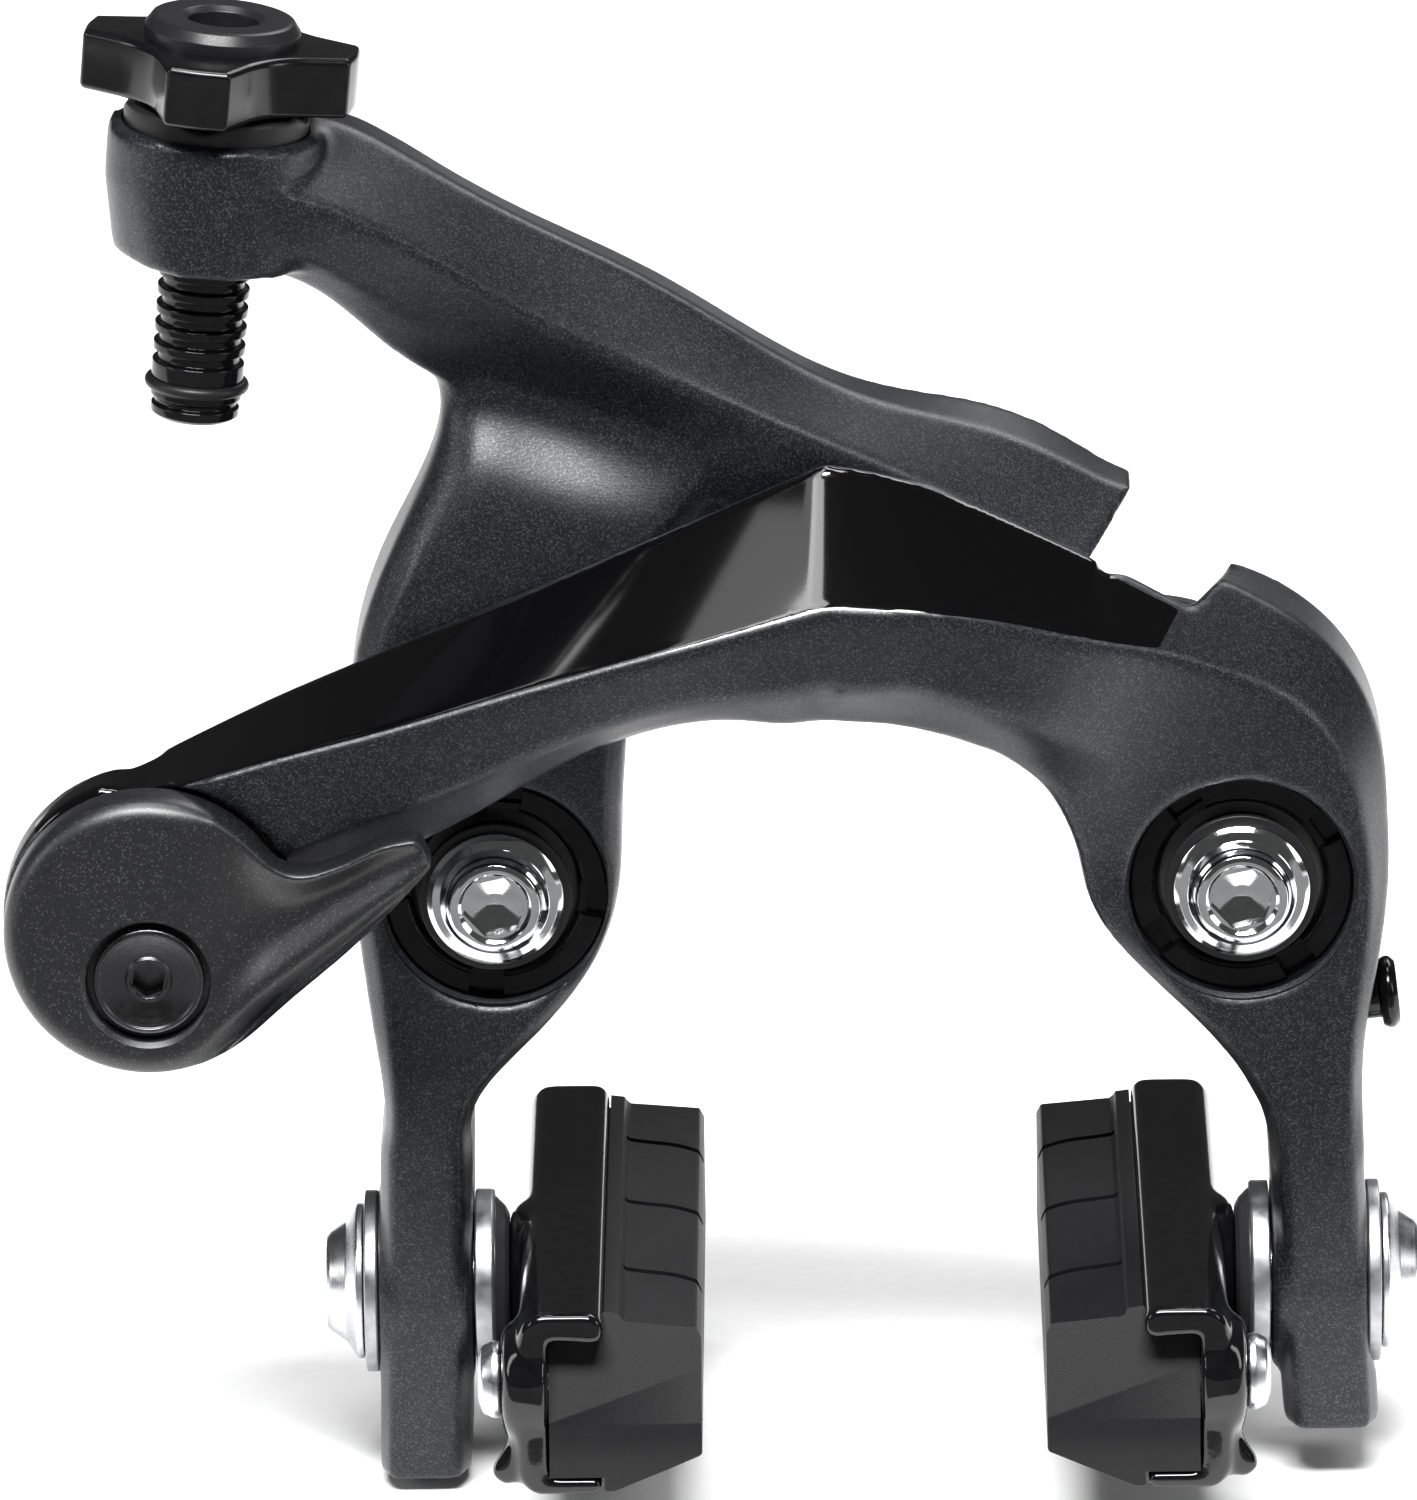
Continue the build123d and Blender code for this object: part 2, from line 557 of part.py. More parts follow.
def brake_pad(side):
    front = SHOE_BOLT_Y - SHOE_LENGTH / 2
    back = SHOE_BOLT_Y + SHOE_LENGTH / 2
    top = SHOE_TOP - HOLDER_TOP_SHEET
    low = SHOE_BOTTOM + HOLDER_SHEET
    with BuildPart() as pad:
        with BuildSketch(Plane.XZ.offset(-back)):
            with BuildLine():
                Polyline(
                    (side * PAD_FACE_X, low + 0.6),
                    (side * PAD_STEP_X, low - 0.6),
                    (side * (HOLDER_LIP_X - 0.05), low - 0.6),
                    (side * (HOLDER_LIP_X - 0.05), low),
                    (side * HOLDER_WALL_X, low),
                    (side * HOLDER_WALL_X, top),
                    (side * (HOLDER_LIP_X - 0.05), top),
                    (side * (HOLDER_LIP_X - 0.05), top + 0.9),
                    (side * PAD_STEP_X, top + 0.7),
                    (side * PAD_STEP_X, top - 0.1),
                    (side * PAD_FACE_X, top - 0.5),
                    close=True,
                )
            make_face()
        extrude(amount=back - front)
    stop = back - PAD_STOP
    near, far = HOLDER_LIP_X - 0.05, HOLDER_WALL_X + 1
    piece = pad.part - shoe_outline(side, near, far, low - 1, top + 1, stop, back + 1)
    half = PAD_GROOVE / 2
    for y in PAD_GROOVES:
        floor = top - PAD_GROOVE_DEPTH
        piece -= shoe_outline(side, PAD_FACE_X - 1, PAD_STEP_X, floor, top + 1, y - half, y + half)
    piece -= rod(side_plane(side, PAD_STEP_X, PAD_SCREW_Y, PAD_SCREW_Z), PAD_SCREW_R, 8)
    piece -= rod(side_plane(side, PAD_STEP_X + 1.7, SHOE_BOLT_Y, SHOE_BOLT_Z), SHOE_BOLT_R, 8)
    return piece


def pad_screw(side):
    with BuildPart() as screw:
        with BuildSketch(side_plane(side, PAD_STEP_X + 1.2, PAD_SCREW_Y, PAD_SCREW_Z)):
            Circle(PAD_SCREW_R)
        extrude(amount=PAD_SCREW_SEAT_X - PAD_STEP_X - 1.2)
        with BuildSketch(side_plane(side, PAD_SCREW_SEAT_X, PAD_SCREW_Y, PAD_SCREW_Z)):
            Circle(PAD_SCREW_HEAD_R)
        extrude(amount=0.9)
        with BuildSketch(side_plane(side, PAD_SCREW_SEAT_X + 0.9, PAD_SCREW_Y, PAD_SCREW_Z)):
            Circle(PAD_SCREW_HEAD_R)
        extrude(amount=0.8, taper=50)
        with BuildSketch(side_plane(side, PAD_SCREW_SEAT_X + 0.5, PAD_SCREW_Y, PAD_SCREW_Z)):
            RegularPolygon(1.0, 6, major_radius=False)
        extrude(amount=2, mode=Mode.SUBTRACT)
    return screw.part


def shoe_bolt(side):
    with BuildPart() as bolt:
        with BuildSketch(side_plane(side, PAD_STEP_X + 2.2, SHOE_BOLT_Y, SHOE_BOLT_Z)):
            Circle(SHOE_BOLT_R)
        extrude(amount=OUTER_WASHER_X - PAD_STEP_X - 2.2)
        with BuildSketch(side_plane(side, OUTER_WASHER_X, SHOE_BOLT_Y, SHOE_BOLT_Z)):
            Circle(BOLT_FLANGE_R)
        extrude(amount=BOLT_FLANGE)
        with BuildSketch(side_plane(side, OUTER_WASHER_X + BOLT_FLANGE, SHOE_BOLT_Y, SHOE_BOLT_Z)):
            Circle(BOLT_HEAD_R)
        extrude(amount=BOLT_HEAD, taper=14)
        with BuildSketch(side_plane(side, OUTER_WASHER_X + 0.4, SHOE_BOLT_Y, SHOE_BOLT_Z)):
            RegularPolygon(2.0, 6, major_radius=False)
        extrude(amount=3, mode=Mode.SUBTRACT)
    return bolt.part


def shoe_washer(side, start, length):
    return ring_of(side_plane(side, start, SHOE_BOLT_Y, SHOE_BOLT_Z), WASHER_DISC_R, SHOE_BOLT_R, length)


def convex_washer(side):
    """Domed spacer between the shoe holder and the inner washer."""
    with BuildPart() as washer:
        with BuildSketch(side_plane(side, CONVEX_X, SHOE_BOLT_Y, SHOE_BOLT_Z)):
            Circle(CONVEX_NEAR_R)
        with BuildSketch(side_plane(side, INNER_WASHER_X, SHOE_BOLT_Y, SHOE_BOLT_Z)):
            Circle(CONVEX_FAR_R)
        loft()
        with BuildSketch(side_plane(side, CONVEX_X - 0.5, SHOE_BOLT_Y, SHOE_BOLT_Z)):
            Circle(SHOE_BOLT_R)
        extrude(amount=3, mode=Mode.SUBTRACT)
    return washer.part


# ---- link roller ----
def roller_pin():
    pin = rod(front_plane(0, ROLLER_BACK + 1.0, ROLLER_Z), ROLLER_PIN_R, ROLLER_BACK + 1.0 - ROLLER_PIN_FRONT)
    head = rod(front_plane(0, ROLLER_BACK + 1.4, ROLLER_Z), ROLLER_PIN_HEAD_R, 1.3)
    collar = ring_of(front_plane(0, ROLLER_FRONT - 0.1, ROLLER_Z), ROLLER_PIN_HEAD_R, ROLLER_PIN_R, 1.0)
    return pin + head + collar


# ---- quick release ----
def quick_release_lever():
    with BuildPart() as disc:
        with BuildSketch(front_plane(LEVER_X, LEVER_BACK, LEVER_Z)):
            Circle(LEVER_R)
        extrude(amount=LEVER_BACK - LEVER_FRONT)
        fillet(disc.faces().sort_by(Axis.Y)[0].edges(), LEVER_RIM)
    with BuildPart() as tail:
        with BuildSketch(front_plane(LEVER_X, TAIL_BACK, LEVER_Z)):
            with BuildLine():
                Spline((5.0, 9.1), (7.4, 6.6), (11.0, 4.6), (15.0, 5.3), (21.0, 6.9))
                Line((21.0, 6.9), (21.1, 5.2))
                Spline((21.1, 5.2), (17.5, 1.6), (12.0, -2.9), (4.6, -9.2))
                Line((4.6, -9.2), (5.0, 9.1))
            make_face()
        extrude(amount=TAIL_BACK - TAIL_FRONT)
    body = disc.part + tail.part
    body += rod(front_plane(LEVER_X, HUB_BACK, LEVER_Z), HUB_R, HUB_BACK - LEVER_BACK + 0.5)
    anchor_z = LEVER_Z - ANCHOR_DROP
    body -= rod(front_plane(LEVER_X, LEVER_FRONT + ANCHOR_HEAD_DEPTH, anchor_z), ANCHOR_HEAD_R + 0.1, 6)
    body -= rod(front_plane(LEVER_X, HUB_BACK + 1, anchor_z), ANCHOR_R + RUN_CLEARANCE, 20)
    return body


def cable_bolt():
    anchor_z = LEVER_Z - ANCHOR_DROP
    seat = LEVER_FRONT + ANCHOR_HEAD_DEPTH
    with BuildPart() as bolt:
        with BuildSketch(front_plane(LEVER_X, ANCHOR_BACK, anchor_z)):
            Circle(ANCHOR_R)
        extrude(amount=ANCHOR_BACK - seat)
        with BuildSketch(front_plane(LEVER_X, seat, anchor_z)):
            Circle(ANCHOR_HEAD_R)
        extrude(amount=0.9)
        with BuildSketch(front_plane(LEVER_X, seat - 0.9, anchor_z)):
            Circle(1.9)
        extrude(amount=0.5)
        with BuildSketch(front_plane(LEVER_X, seat + 0.3, anchor_z)):
            RegularPolygon(1.25, 6, major_radius=False)
        extrude(amount=4, mode=Mode.SUBTRACT)
    return bolt.part


def clamp_disc(y_back, y_front):
    """One of the two discs that grip the cable, with half of the cable groove in its face."""
    anchor_z = LEVER_Z - ANCHOR_DROP
    disc = rod(front_plane(LEVER_X, y_back, anchor_z), CLAMP_R, y_back - y_front)
    disc -= rod(front_plane(LEVER_X, y_back + 1, anchor_z), ANCHOR_R, 8)
    tilt = math.radians(CABLE_TILT)
    groove = Plane(origin=(LEVER_X + CABLE_OFFSET, CLAMP_FACE, anchor_z - 10),
                   x_dir=(math.cos(tilt), 0, -math.sin(tilt)),
                   z_dir=(math.sin(tilt), 0, math.cos(tilt)))
    return disc - rod(groove, CABLE_R, 20)


def anchor_nut():
    with BuildPart() as nut:
        with BuildSketch(front_plane(LEVER_X, NUT_BACK, LEVER_Z - ANCHOR_DROP)):
            RegularPolygon(NUT_FLATS / 2, 6, major_radius=False)
            Circle(ANCHOR_R, mode=Mode.SUBTRACT)
        extrude(amount=NUT_BACK - CLAMP_PLATE_BACK)
    return nut.part


# ---- barrel adjuster ----
def adjuster_barrel():
    barrel = rod(adjuster_plane(BARREL_LOW), BARREL_R, KNOB_LOW - BARREL_LOW)
    barrel -= rod(adjuster_plane(BARREL_LOW - 1), CABLE_HOLE_R, 40)
    for index in range(THREAD_RINGS):
        low = BARREL_LOW + THREAD_LOW + index * THREAD_PITCH
        barrel -= ring_of(adjuster_plane(low), BARREL_R + 1, BARREL_R - THREAD_DEPTH, THREAD_GROOVE)
    seat = adjuster_plane(BARREL_LOW + O_RING_LOW - 0.45)
    return barrel - ring_of(seat, BARREL_R + 1, BARREL_R - 0.5, 0.9)


def adjuster_collar():
    with BuildPart() as collar:
        with BuildSketch(adjuster_plane(COLLAR_LOW)):
            Circle(COLLAR_R)
            Circle(BARREL_R + 0.15, mode=Mode.SUBTRACT)
        extrude(amount=COLLAR_TOP - COLLAR_LOW)
        with BuildSketch(adjuster_plane(COLLAR_TOP - 0.7)):
            with PolarLocations(COLLAR_R, 4, start_angle=ADJ_TURN):
                Rectangle(5, 3.2)
        extrude(amount=2, mode=Mode.SUBTRACT)
    return collar.part


def adjuster_knob():
    with BuildPart() as knob:
        with BuildSketch(adjuster_plane(KNOB_LOW)):
            Circle(KNOB_CORE_R)
            with PolarLocations(KNOB_LOBE_MID, 4, start_angle=ADJ_TURN):
                Polygon((-2.2, -4.6), (2.1, -2.5), (2.6, -1.9), (2.6, 1.9), (2.1, 2.5), (-2.2, 4.6), align=None)
        extrude(amount=KNOB_TOP - KNOB_LOW)
        with BuildSketch(adjuster_plane(KNOB_LOW + 0.1)):
            Circle(CAP_NECK_R + RUN_CLEARANCE)
        extrude(amount=10, mode=Mode.SUBTRACT)
        with BuildSketch(adjuster_plane(KNOB_LOW - 1)):
            Circle(CABLE_HOLE_R)
        extrude(amount=10, mode=Mode.SUBTRACT)
    return knob.part


def adjuster_cap():
    with BuildPart() as cap:
        with BuildSketch(adjuster_plane(SOCKET_LOW - 0.1)):
            Circle(CAP_NECK_R)
        extrude(amount=KNOB_TOP + 0.1 - SOCKET_LOW + 0.1)
        with BuildSketch(adjuster_plane(KNOB_TOP + 0.05)):
            Circle(CAP_R)
        extrude(amount=0.9)
        with BuildSketch(adjuster_plane(KNOB_TOP + 0.95)):
            Circle(CAP_R)
        extrude(amount=CAP_TOP - KNOB_TOP - 0.95, taper=55)
        with BuildSketch(adjuster_plane(SOCKET_LOW + 0.5)):
            Circle(SOCKET_R)
        extrude(amount=10, mode=Mode.SUBTRACT)
        with BuildSketch(adjuster_plane(0)):
            Circle(CABLE_HOLE_R)
        extrude(amount=10, mode=Mode.SUBTRACT)
    return cap.part


def o_ring():
    with BuildPart() as ring:
        plane = adjuster_plane(BARREL_LOW + O_RING_LOW)
        with BuildSketch(Plane(origin=plane.origin, x_dir=plane.x_dir, z_dir=(0, -1, 0))):
            with Locations((BARREL_R, 0)):
                Circle(O_RING_R)
        revolve(axis=Axis(plane.origin, plane.z_dir))
    return ring.part


def centring_screw():
    stem = rod(centring_plane(-4.5), CENTRING_R, 5.4)
    flange = rod(centring_plane(0.9), CENTRING_FLANGE_R, 1.5)
    with BuildPart() as socket:
        with BuildSketch(centring_plane(1.2)):
            RegularPolygon(1.0, 6, major_radius=False)
        extrude(amount=3)
    return stem + flange - socket.part


# ---- write every piece ----
def save(name, shape):
    shape.label = name
    export_step(shape, f"parts/{name}.step")


def save_group(name, shapes):
    save(name, Compound(children=shapes))


save("left_arm", left_arm())
save("right_arm", right_arm())
save("link_plate", link_plate())
save_group("pivot_sleeves", [pivot_sleeve(-PIVOT_X), pivot_sleeve(PIVOT_X)])
save_group("mounting_bolts", [mounting_bolt(-PIVOT_X), mounting_bolt(PIVOT_X)])
save_group("bolt_washers", [
    ring_of(front_plane(x, SLEEVE_FRONT, 0), WASHER_R, STUD_R, SLEEVE_FRONT - WASHER_FRONT)
    for x in (-PIVOT_X, PIVOT_X)
])
for name, side in (("left", -1), ("right", 1)):
    save(f"bush_{name}", bush(side))
    save(f"lock_ring_{name}", lock_ring(side, name))
    save(f"return_spring_{name}", return_spring(side))
    save(f"shoe_holder_{name}", shoe_holder(side))
    save(f"brake_pad_{name}", brake_pad(side))
    save(f"pad_screw_{name}", pad_screw(side))
    save(f"shoe_bolt_{name}", shoe_bolt(side))
    save(f"outer_washer_{name}", shoe_washer(side, LEG_OUTER_X, OUTER_WASHER_X - LEG_OUTER_X))
    save(f"inner_washer_{name}", shoe_washer(side, INNER_WASHER_X, LEG_INNER_X - INNER_WASHER_X))
    save(f"convex_washer_{name}", convex_washer(side))
save("roller_pin", roller_pin())
save("link_roller", ring_of(front_plane(0, ROLLER_BACK, ROLLER_Z), ROLLER_R,
                            ROLLER_PIN_R + RUN_CLEARANCE, ROLLER_BACK - ROLLER_FRONT))
save("quick_release_lever", quick_release_lever())
save("cable_bolt", cable_bolt())
save("clamp_washer", clamp_disc(CLAMP_FACE, HUB_BACK + 0.15))
save("clamp_plate", clamp_disc(CLAMP_PLATE_BACK, CLAMP_FACE))
save("anchor_nut", anchor_nut())
save("adjuster_barrel", adjuster_barrel())
save("adjuster_collar", adjuster_collar())
save("adjuster_knob", adjuster_knob())
save("adjuster_cap", adjuster_cap())
save("adjuster_o_ring", o_ring())
save("centring_screw", centring_screw())
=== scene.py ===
import math
import bmesh
import bpy
import numpy as np
from mathutils import Matrix, Vector


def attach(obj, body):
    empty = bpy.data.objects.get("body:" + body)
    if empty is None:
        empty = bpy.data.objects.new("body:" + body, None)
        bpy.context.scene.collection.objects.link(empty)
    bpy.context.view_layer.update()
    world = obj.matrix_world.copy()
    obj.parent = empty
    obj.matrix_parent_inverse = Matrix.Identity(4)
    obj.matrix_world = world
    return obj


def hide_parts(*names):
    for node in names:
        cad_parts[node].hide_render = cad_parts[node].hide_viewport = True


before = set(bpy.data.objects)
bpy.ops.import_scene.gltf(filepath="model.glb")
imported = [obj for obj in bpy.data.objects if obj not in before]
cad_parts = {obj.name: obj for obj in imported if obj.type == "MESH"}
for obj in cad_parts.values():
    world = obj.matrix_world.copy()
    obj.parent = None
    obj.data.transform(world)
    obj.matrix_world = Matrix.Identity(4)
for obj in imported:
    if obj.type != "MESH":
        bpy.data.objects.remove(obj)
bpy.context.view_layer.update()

# Lengths in this file are millimetres in the CAD frame; MM turns them into metres.
MM = 0.001

# ---- the CAD's driving sizes that the looks repeat ----
PIVOT_X = 28.0
LEVER_X, LEVER_Z = -53.6, 1.2
ANCHOR_Z = LEVER_Z - 3.3
ADJ_X, ADJ_Y, ADJ_Z, ADJ_TILT = -48.23, -12.0, 54.2, math.radians(5.4)
SHOE_Y, SHOE_Z = -10.0, -32.3
ROLLER_Z = 23.8


# ---- places: local X, Y, Z axes of a piece drawn flat or turned, in the CAD frame ----
def axes(origin, x_dir, z_dir):
    x, z = Vector(x_dir).normalized(), Vector(z_dir).normalized()
    y = z.cross(x)
    m = Matrix((x, y, z)).transposed().to_4x4()
    m.translation = Vector(origin)
    return m


def front(x, y, z, turn=0.0):
    """Local Z towards the front (-Y), local Y up."""
    t = math.radians(turn)
    return axes((x, y, z), (math.cos(t), 0, math.sin(t)), (0, -1, 0))


def outward(side, x, y, z):
    """Local Z away from the wheel on one side, local Y up."""
    return axes((side * x, y, z), (0, side, 0), (side, 0, 0))


def adjuster(height):
    up = Vector((math.sin(ADJ_TILT), 0, math.cos(ADJ_TILT)))
    return axes(Vector((ADJ_X, ADJ_Y, ADJ_Z)) + up * height, (up.z, 0, -up.x), up)


# ---- mesh helpers ----
def make(name, verts, faces, place=None):
    """Object from points in mm; place puts local points into the CAD frame."""
    mesh = bpy.data.meshes.new(name)
    pts = [Vector(v) for v in verts]
    if place is not None:
        pts = [place @ p for p in pts]
    mesh.from_pydata([tuple(p * MM) for p in pts], [], faces)
    obj = bpy.data.objects.new(name, mesh)
    bpy.context.scene.collection.objects.link(obj)
    tidy(obj)
    return obj


def tidy(obj):
    """Faces turned outwards and shaded smooth."""
    bm = bmesh.new()
    bm.from_mesh(obj.data)
    bmesh.ops.recalc_face_normals(bm, faces=bm.faces)
    for f in bm.faces:
        f.smooth = True
    bm.to_mesh(obj.data)
    bm.free()


def apply_modifiers(obj):
    """Makes the result of the object's modifiers its mesh."""
    graph = bpy.context.evaluated_depsgraph_get()
    mesh = bpy.data.meshes.new_from_object(obj.evaluated_get(graph))
    obj.modifiers.clear()
    obj.data = mesh


def sharp(obj, angle):
    """Shades smooth, but for edges that turn by more than angle degrees."""
    for f in obj.data.polygons:
        f.use_smooth = True
    obj.data.set_sharp_from_angle(angle=math.radians(angle))


def rounded(points, closed=True, steps=4):
    """Profile points (a, b) or (a, b, radius): each corner with a radius becomes an arc."""
    out = []
    count = len(points)
    for i, point in enumerate(points):
        here = Vector(point[:2])
        radius = point[2] if len(point) > 2 else 0.0
        if radius == 0 or (not closed and i in (0, count - 1)):
            out.append(tuple(here))
            continue
        a = Vector(points[i - 1][:2]) - here
        b = Vector(points[(i + 1) % count][:2]) - here
        half = a.angle(b) / 2
        if half > math.radians(88):
            out.append(tuple(here))
            continue
        run = min(radius / math.tan(half), 0.49 * a.length, 0.49 * b.length)
        start, end = here + a.normalized() * run, here + b.normalized() * run
        mid = here + (a.normalized() + b.normalized()).normalized() * (run / math.cos(half))
        arm = run * math.tan(half)
        va, vb = start - mid, end - mid
        sweep = va.angle(vb)
        turn = 1 if va.cross(vb) > 0 else -1
        for k in range(steps + 1):
            t = turn * sweep * k / steps
            p = Vector((va.x * math.cos(t) - va.y * math.sin(t), va.x * math.sin(t) + va.y * math.cos(t)))
            out.append(tuple(mid + p.normalized() * arm))
    return out


def lathe(name, profile, place, segments=96, closed=True):
    """Profile of (radius, height, corner radius) turned about local Z.

    An open profile starts and ends on the axis.
    """
    pts = rounded(profile, closed)
    verts, faces, rings = [], [], []
    for r, h in pts:
        if r < 1e-6:
            rings.append([len(verts)])
            verts.append((0, 0, h))
        else:
            rings.append(list(range(len(verts), len(verts) + segments)))
            for k in range(segments):
                t = 2 * math.pi * k / segments
                verts.append((r * math.cos(t), r * math.sin(t), h))
    pairs = list(zip(rings, rings[1:]))
    if closed:
        pairs.append((rings[-1], rings[0]))
    for a, b in pairs:
        for k in range(segments):
            n = (k + 1) % segments
            if len(a) == 1 and len(b) == 1:
                break
            if len(a) == 1:
                faces.append((a[0], b[k], b[n]))
            elif len(b) == 1:
                faces.append((a[k], b[0], a[n]))
            else:
                faces.append((a[k], b[k], b[n], a[n]))
    return make(name, verts, faces, place)


def prism(name, outlines, place, low, high, bevel, steps=2):
    """Flat outlines extruded from low to high, edges rounded by bevel.

    The first outline is the outside, others are holes.
    """
    drawing = bpy.data.curves.new(name, "CURVE")
    drawing.dimensions = "2D"
    drawing.fill_mode = "BOTH"
    for line in outlines:
        spline = drawing.splines.new("POLY")
        spline.points.add(len(line) - 1)
        for p, xy in zip(spline.points, line):
            p.co = (xy[0], xy[1], 0, 1)
        spline.use_cyclic_u = True
    drawing.bevel_depth = bevel
    drawing.bevel_resolution = steps
    drawing.offset = -bevel
    drawing.extrude = (high - low) / 2 - bevel
    holder = bpy.data.objects.new(name, drawing)
    bpy.context.scene.collection.objects.link(holder)
    graph = bpy.context.evaluated_depsgraph_get()
    mesh = bpy.data.meshes.new_from_object(holder.evaluated_get(graph))
    bpy.data.objects.remove(holder)
    mesh.transform(Matrix.Scale(MM, 4) @ place @ Matrix.Translation((0, 0, (low + high) / 2)))
    obj = bpy.data.objects.new(name, mesh)
    bpy.context.scene.collection.objects.link(obj)
    bm = bmesh.new()
    bm.from_mesh(mesh)
    bmesh.ops.remove_doubles(bm, verts=bm.verts, dist=2e-6)
    bm.to_mesh(mesh)
    bm.free()
    tidy(obj)
    return obj


def cad_copy(node, name):
    """Copy of a CAD node's mesh with its split vertices joined."""
    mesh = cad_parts[node].data.copy()
    obj = bpy.data.objects.new(name, mesh)
    bpy.context.scene.collection.objects.link(obj)
    mesh.materials.clear()
    bm = bmesh.new()
    bm.from_mesh(mesh)
    bmesh.ops.remove_doubles(bm, verts=bm.verts, dist=1.5e-6)
    bm.to_mesh(mesh)
    bm.free()
    return obj


def join(*objs):
    """Joins the meshes into the first object."""
    bm = bmesh.new()
    for o in objs:
        bm.from_mesh(o.data)
    bm.to_mesh(objs[0].data)
    bm.free()
    for o in objs[1:]:
        bpy.data.objects.remove(o)
    return objs[0]


def cut(obj, cutters, operation="DIFFERENCE"):
    """Takes the cutters away from the object, or keeps what they share with INTERSECT."""
    for cutter in cutters:
        mod = obj.modifiers.new("cut", "BOOLEAN")
        mod.operation = operation
        mod.solver = "MANIFOLD"
        mod.object = cutter
        apply_modifiers(obj)
        bpy.data.objects.remove(cutter)
    return obj


def plug(place, radius, low, high, segments=96):
    """Plain cylinder from low to high."""
    return lathe("plug", [(0, low), (radius, low), (radius, high), (0, high)], place, segments, closed=False)


def remesh(obj, size):
    """One closed skin of voxels round all the object's shells."""
    mod = obj.modifiers.new("voxels", "REMESH")
    mod.mode = "VOXEL"
    mod.voxel_size = size * MM
    apply_modifiers(obj)


def relax(obj, steps, weight=None):
    """Laplacian smoothing. weight(points in mm) gives each point's share from 0 to 1."""
    mesh = obj.data
    count = len(mesh.vertices)
    co = np.zeros(count * 3)
    mesh.vertices.foreach_get("co", co)
    co = co.reshape(-1, 3)
    edges = np.zeros(len(mesh.edges) * 2, dtype=np.int64)
    mesh.edges.foreach_get("vertices", edges)
    a, b = edges[0::2], edges[1::2]
    degree = np.bincount(a, minlength=count) + np.bincount(b, minlength=count)
    share = 0.5 * (np.ones(count) if weight is None else weight(co / MM))[:, None]
    for _ in range(steps):
        mean = np.empty_like(co)
        for k in range(3):
            mean[:, k] = np.bincount(a, co[b, k], count) + np.bincount(b, co[a, k], count)
        co += share * (mean / degree[:, None] - co)
    mesh.vertices.foreach_set("co", co.ravel())
    mesh.update()


def shift(obj, move):
    """Moves each point by move(points, normals) in mm."""
    mesh = obj.data
    count = len(mesh.vertices)
    co = np.zeros(count * 3)
    mesh.vertices.foreach_get("co", co)
    no = np.zeros(count * 3)
    mesh.vertices.foreach_get("normal", no)
    pts = co.reshape(-1, 3) / MM
    pts = pts + move(pts, no.reshape(-1, 3))
    mesh.vertices.foreach_set("co", (pts * MM).ravel())
    mesh.update()


def blob(pts, centre, radii, turn=0.0):
    """Smooth bump of height 1 at centre (x, z), fading to 0 at the radii; turn tilts it, in degrees."""
    t = math.radians(turn)
    dx, dz = pts[:, 0] - centre[0], pts[:, 2] - centre[1]
    u = (dx * math.cos(t) + dz * math.sin(t)) / radii[0]
    v = (-dx * math.sin(t) + dz * math.cos(t)) / radii[1]
    return np.clip(1 - u * u - v * v, 0, 1) ** 2


def near(centre, radii, turn=0.0):
    """Weight for relax: 1 round centre, fading to 0 at the radii."""
    return lambda pts: np.clip(2 * blob(pts, centre, radii, turn), 0, 1)


def curve(points, per=10):
    """Smooth curve through the points."""
    out = []
    last = len(points) - 1
    p = [np.array(q, dtype=float) for q in points]
    for i in range(last):
        a, b, c, d = p[max(i - 1, 0)], p[i], p[i + 1], p[min(i + 2, last)]
        for k in range(per):
            t = k / per
            out.append(tuple(0.5 * (2 * b + (c - a) * t + (2 * a - 5 * b + 4 * c - d) * t * t
                                    + (3 * b - a - 3 * c + d) * t ** 3)))
    out.append(tuple(p[-1]))
    return out


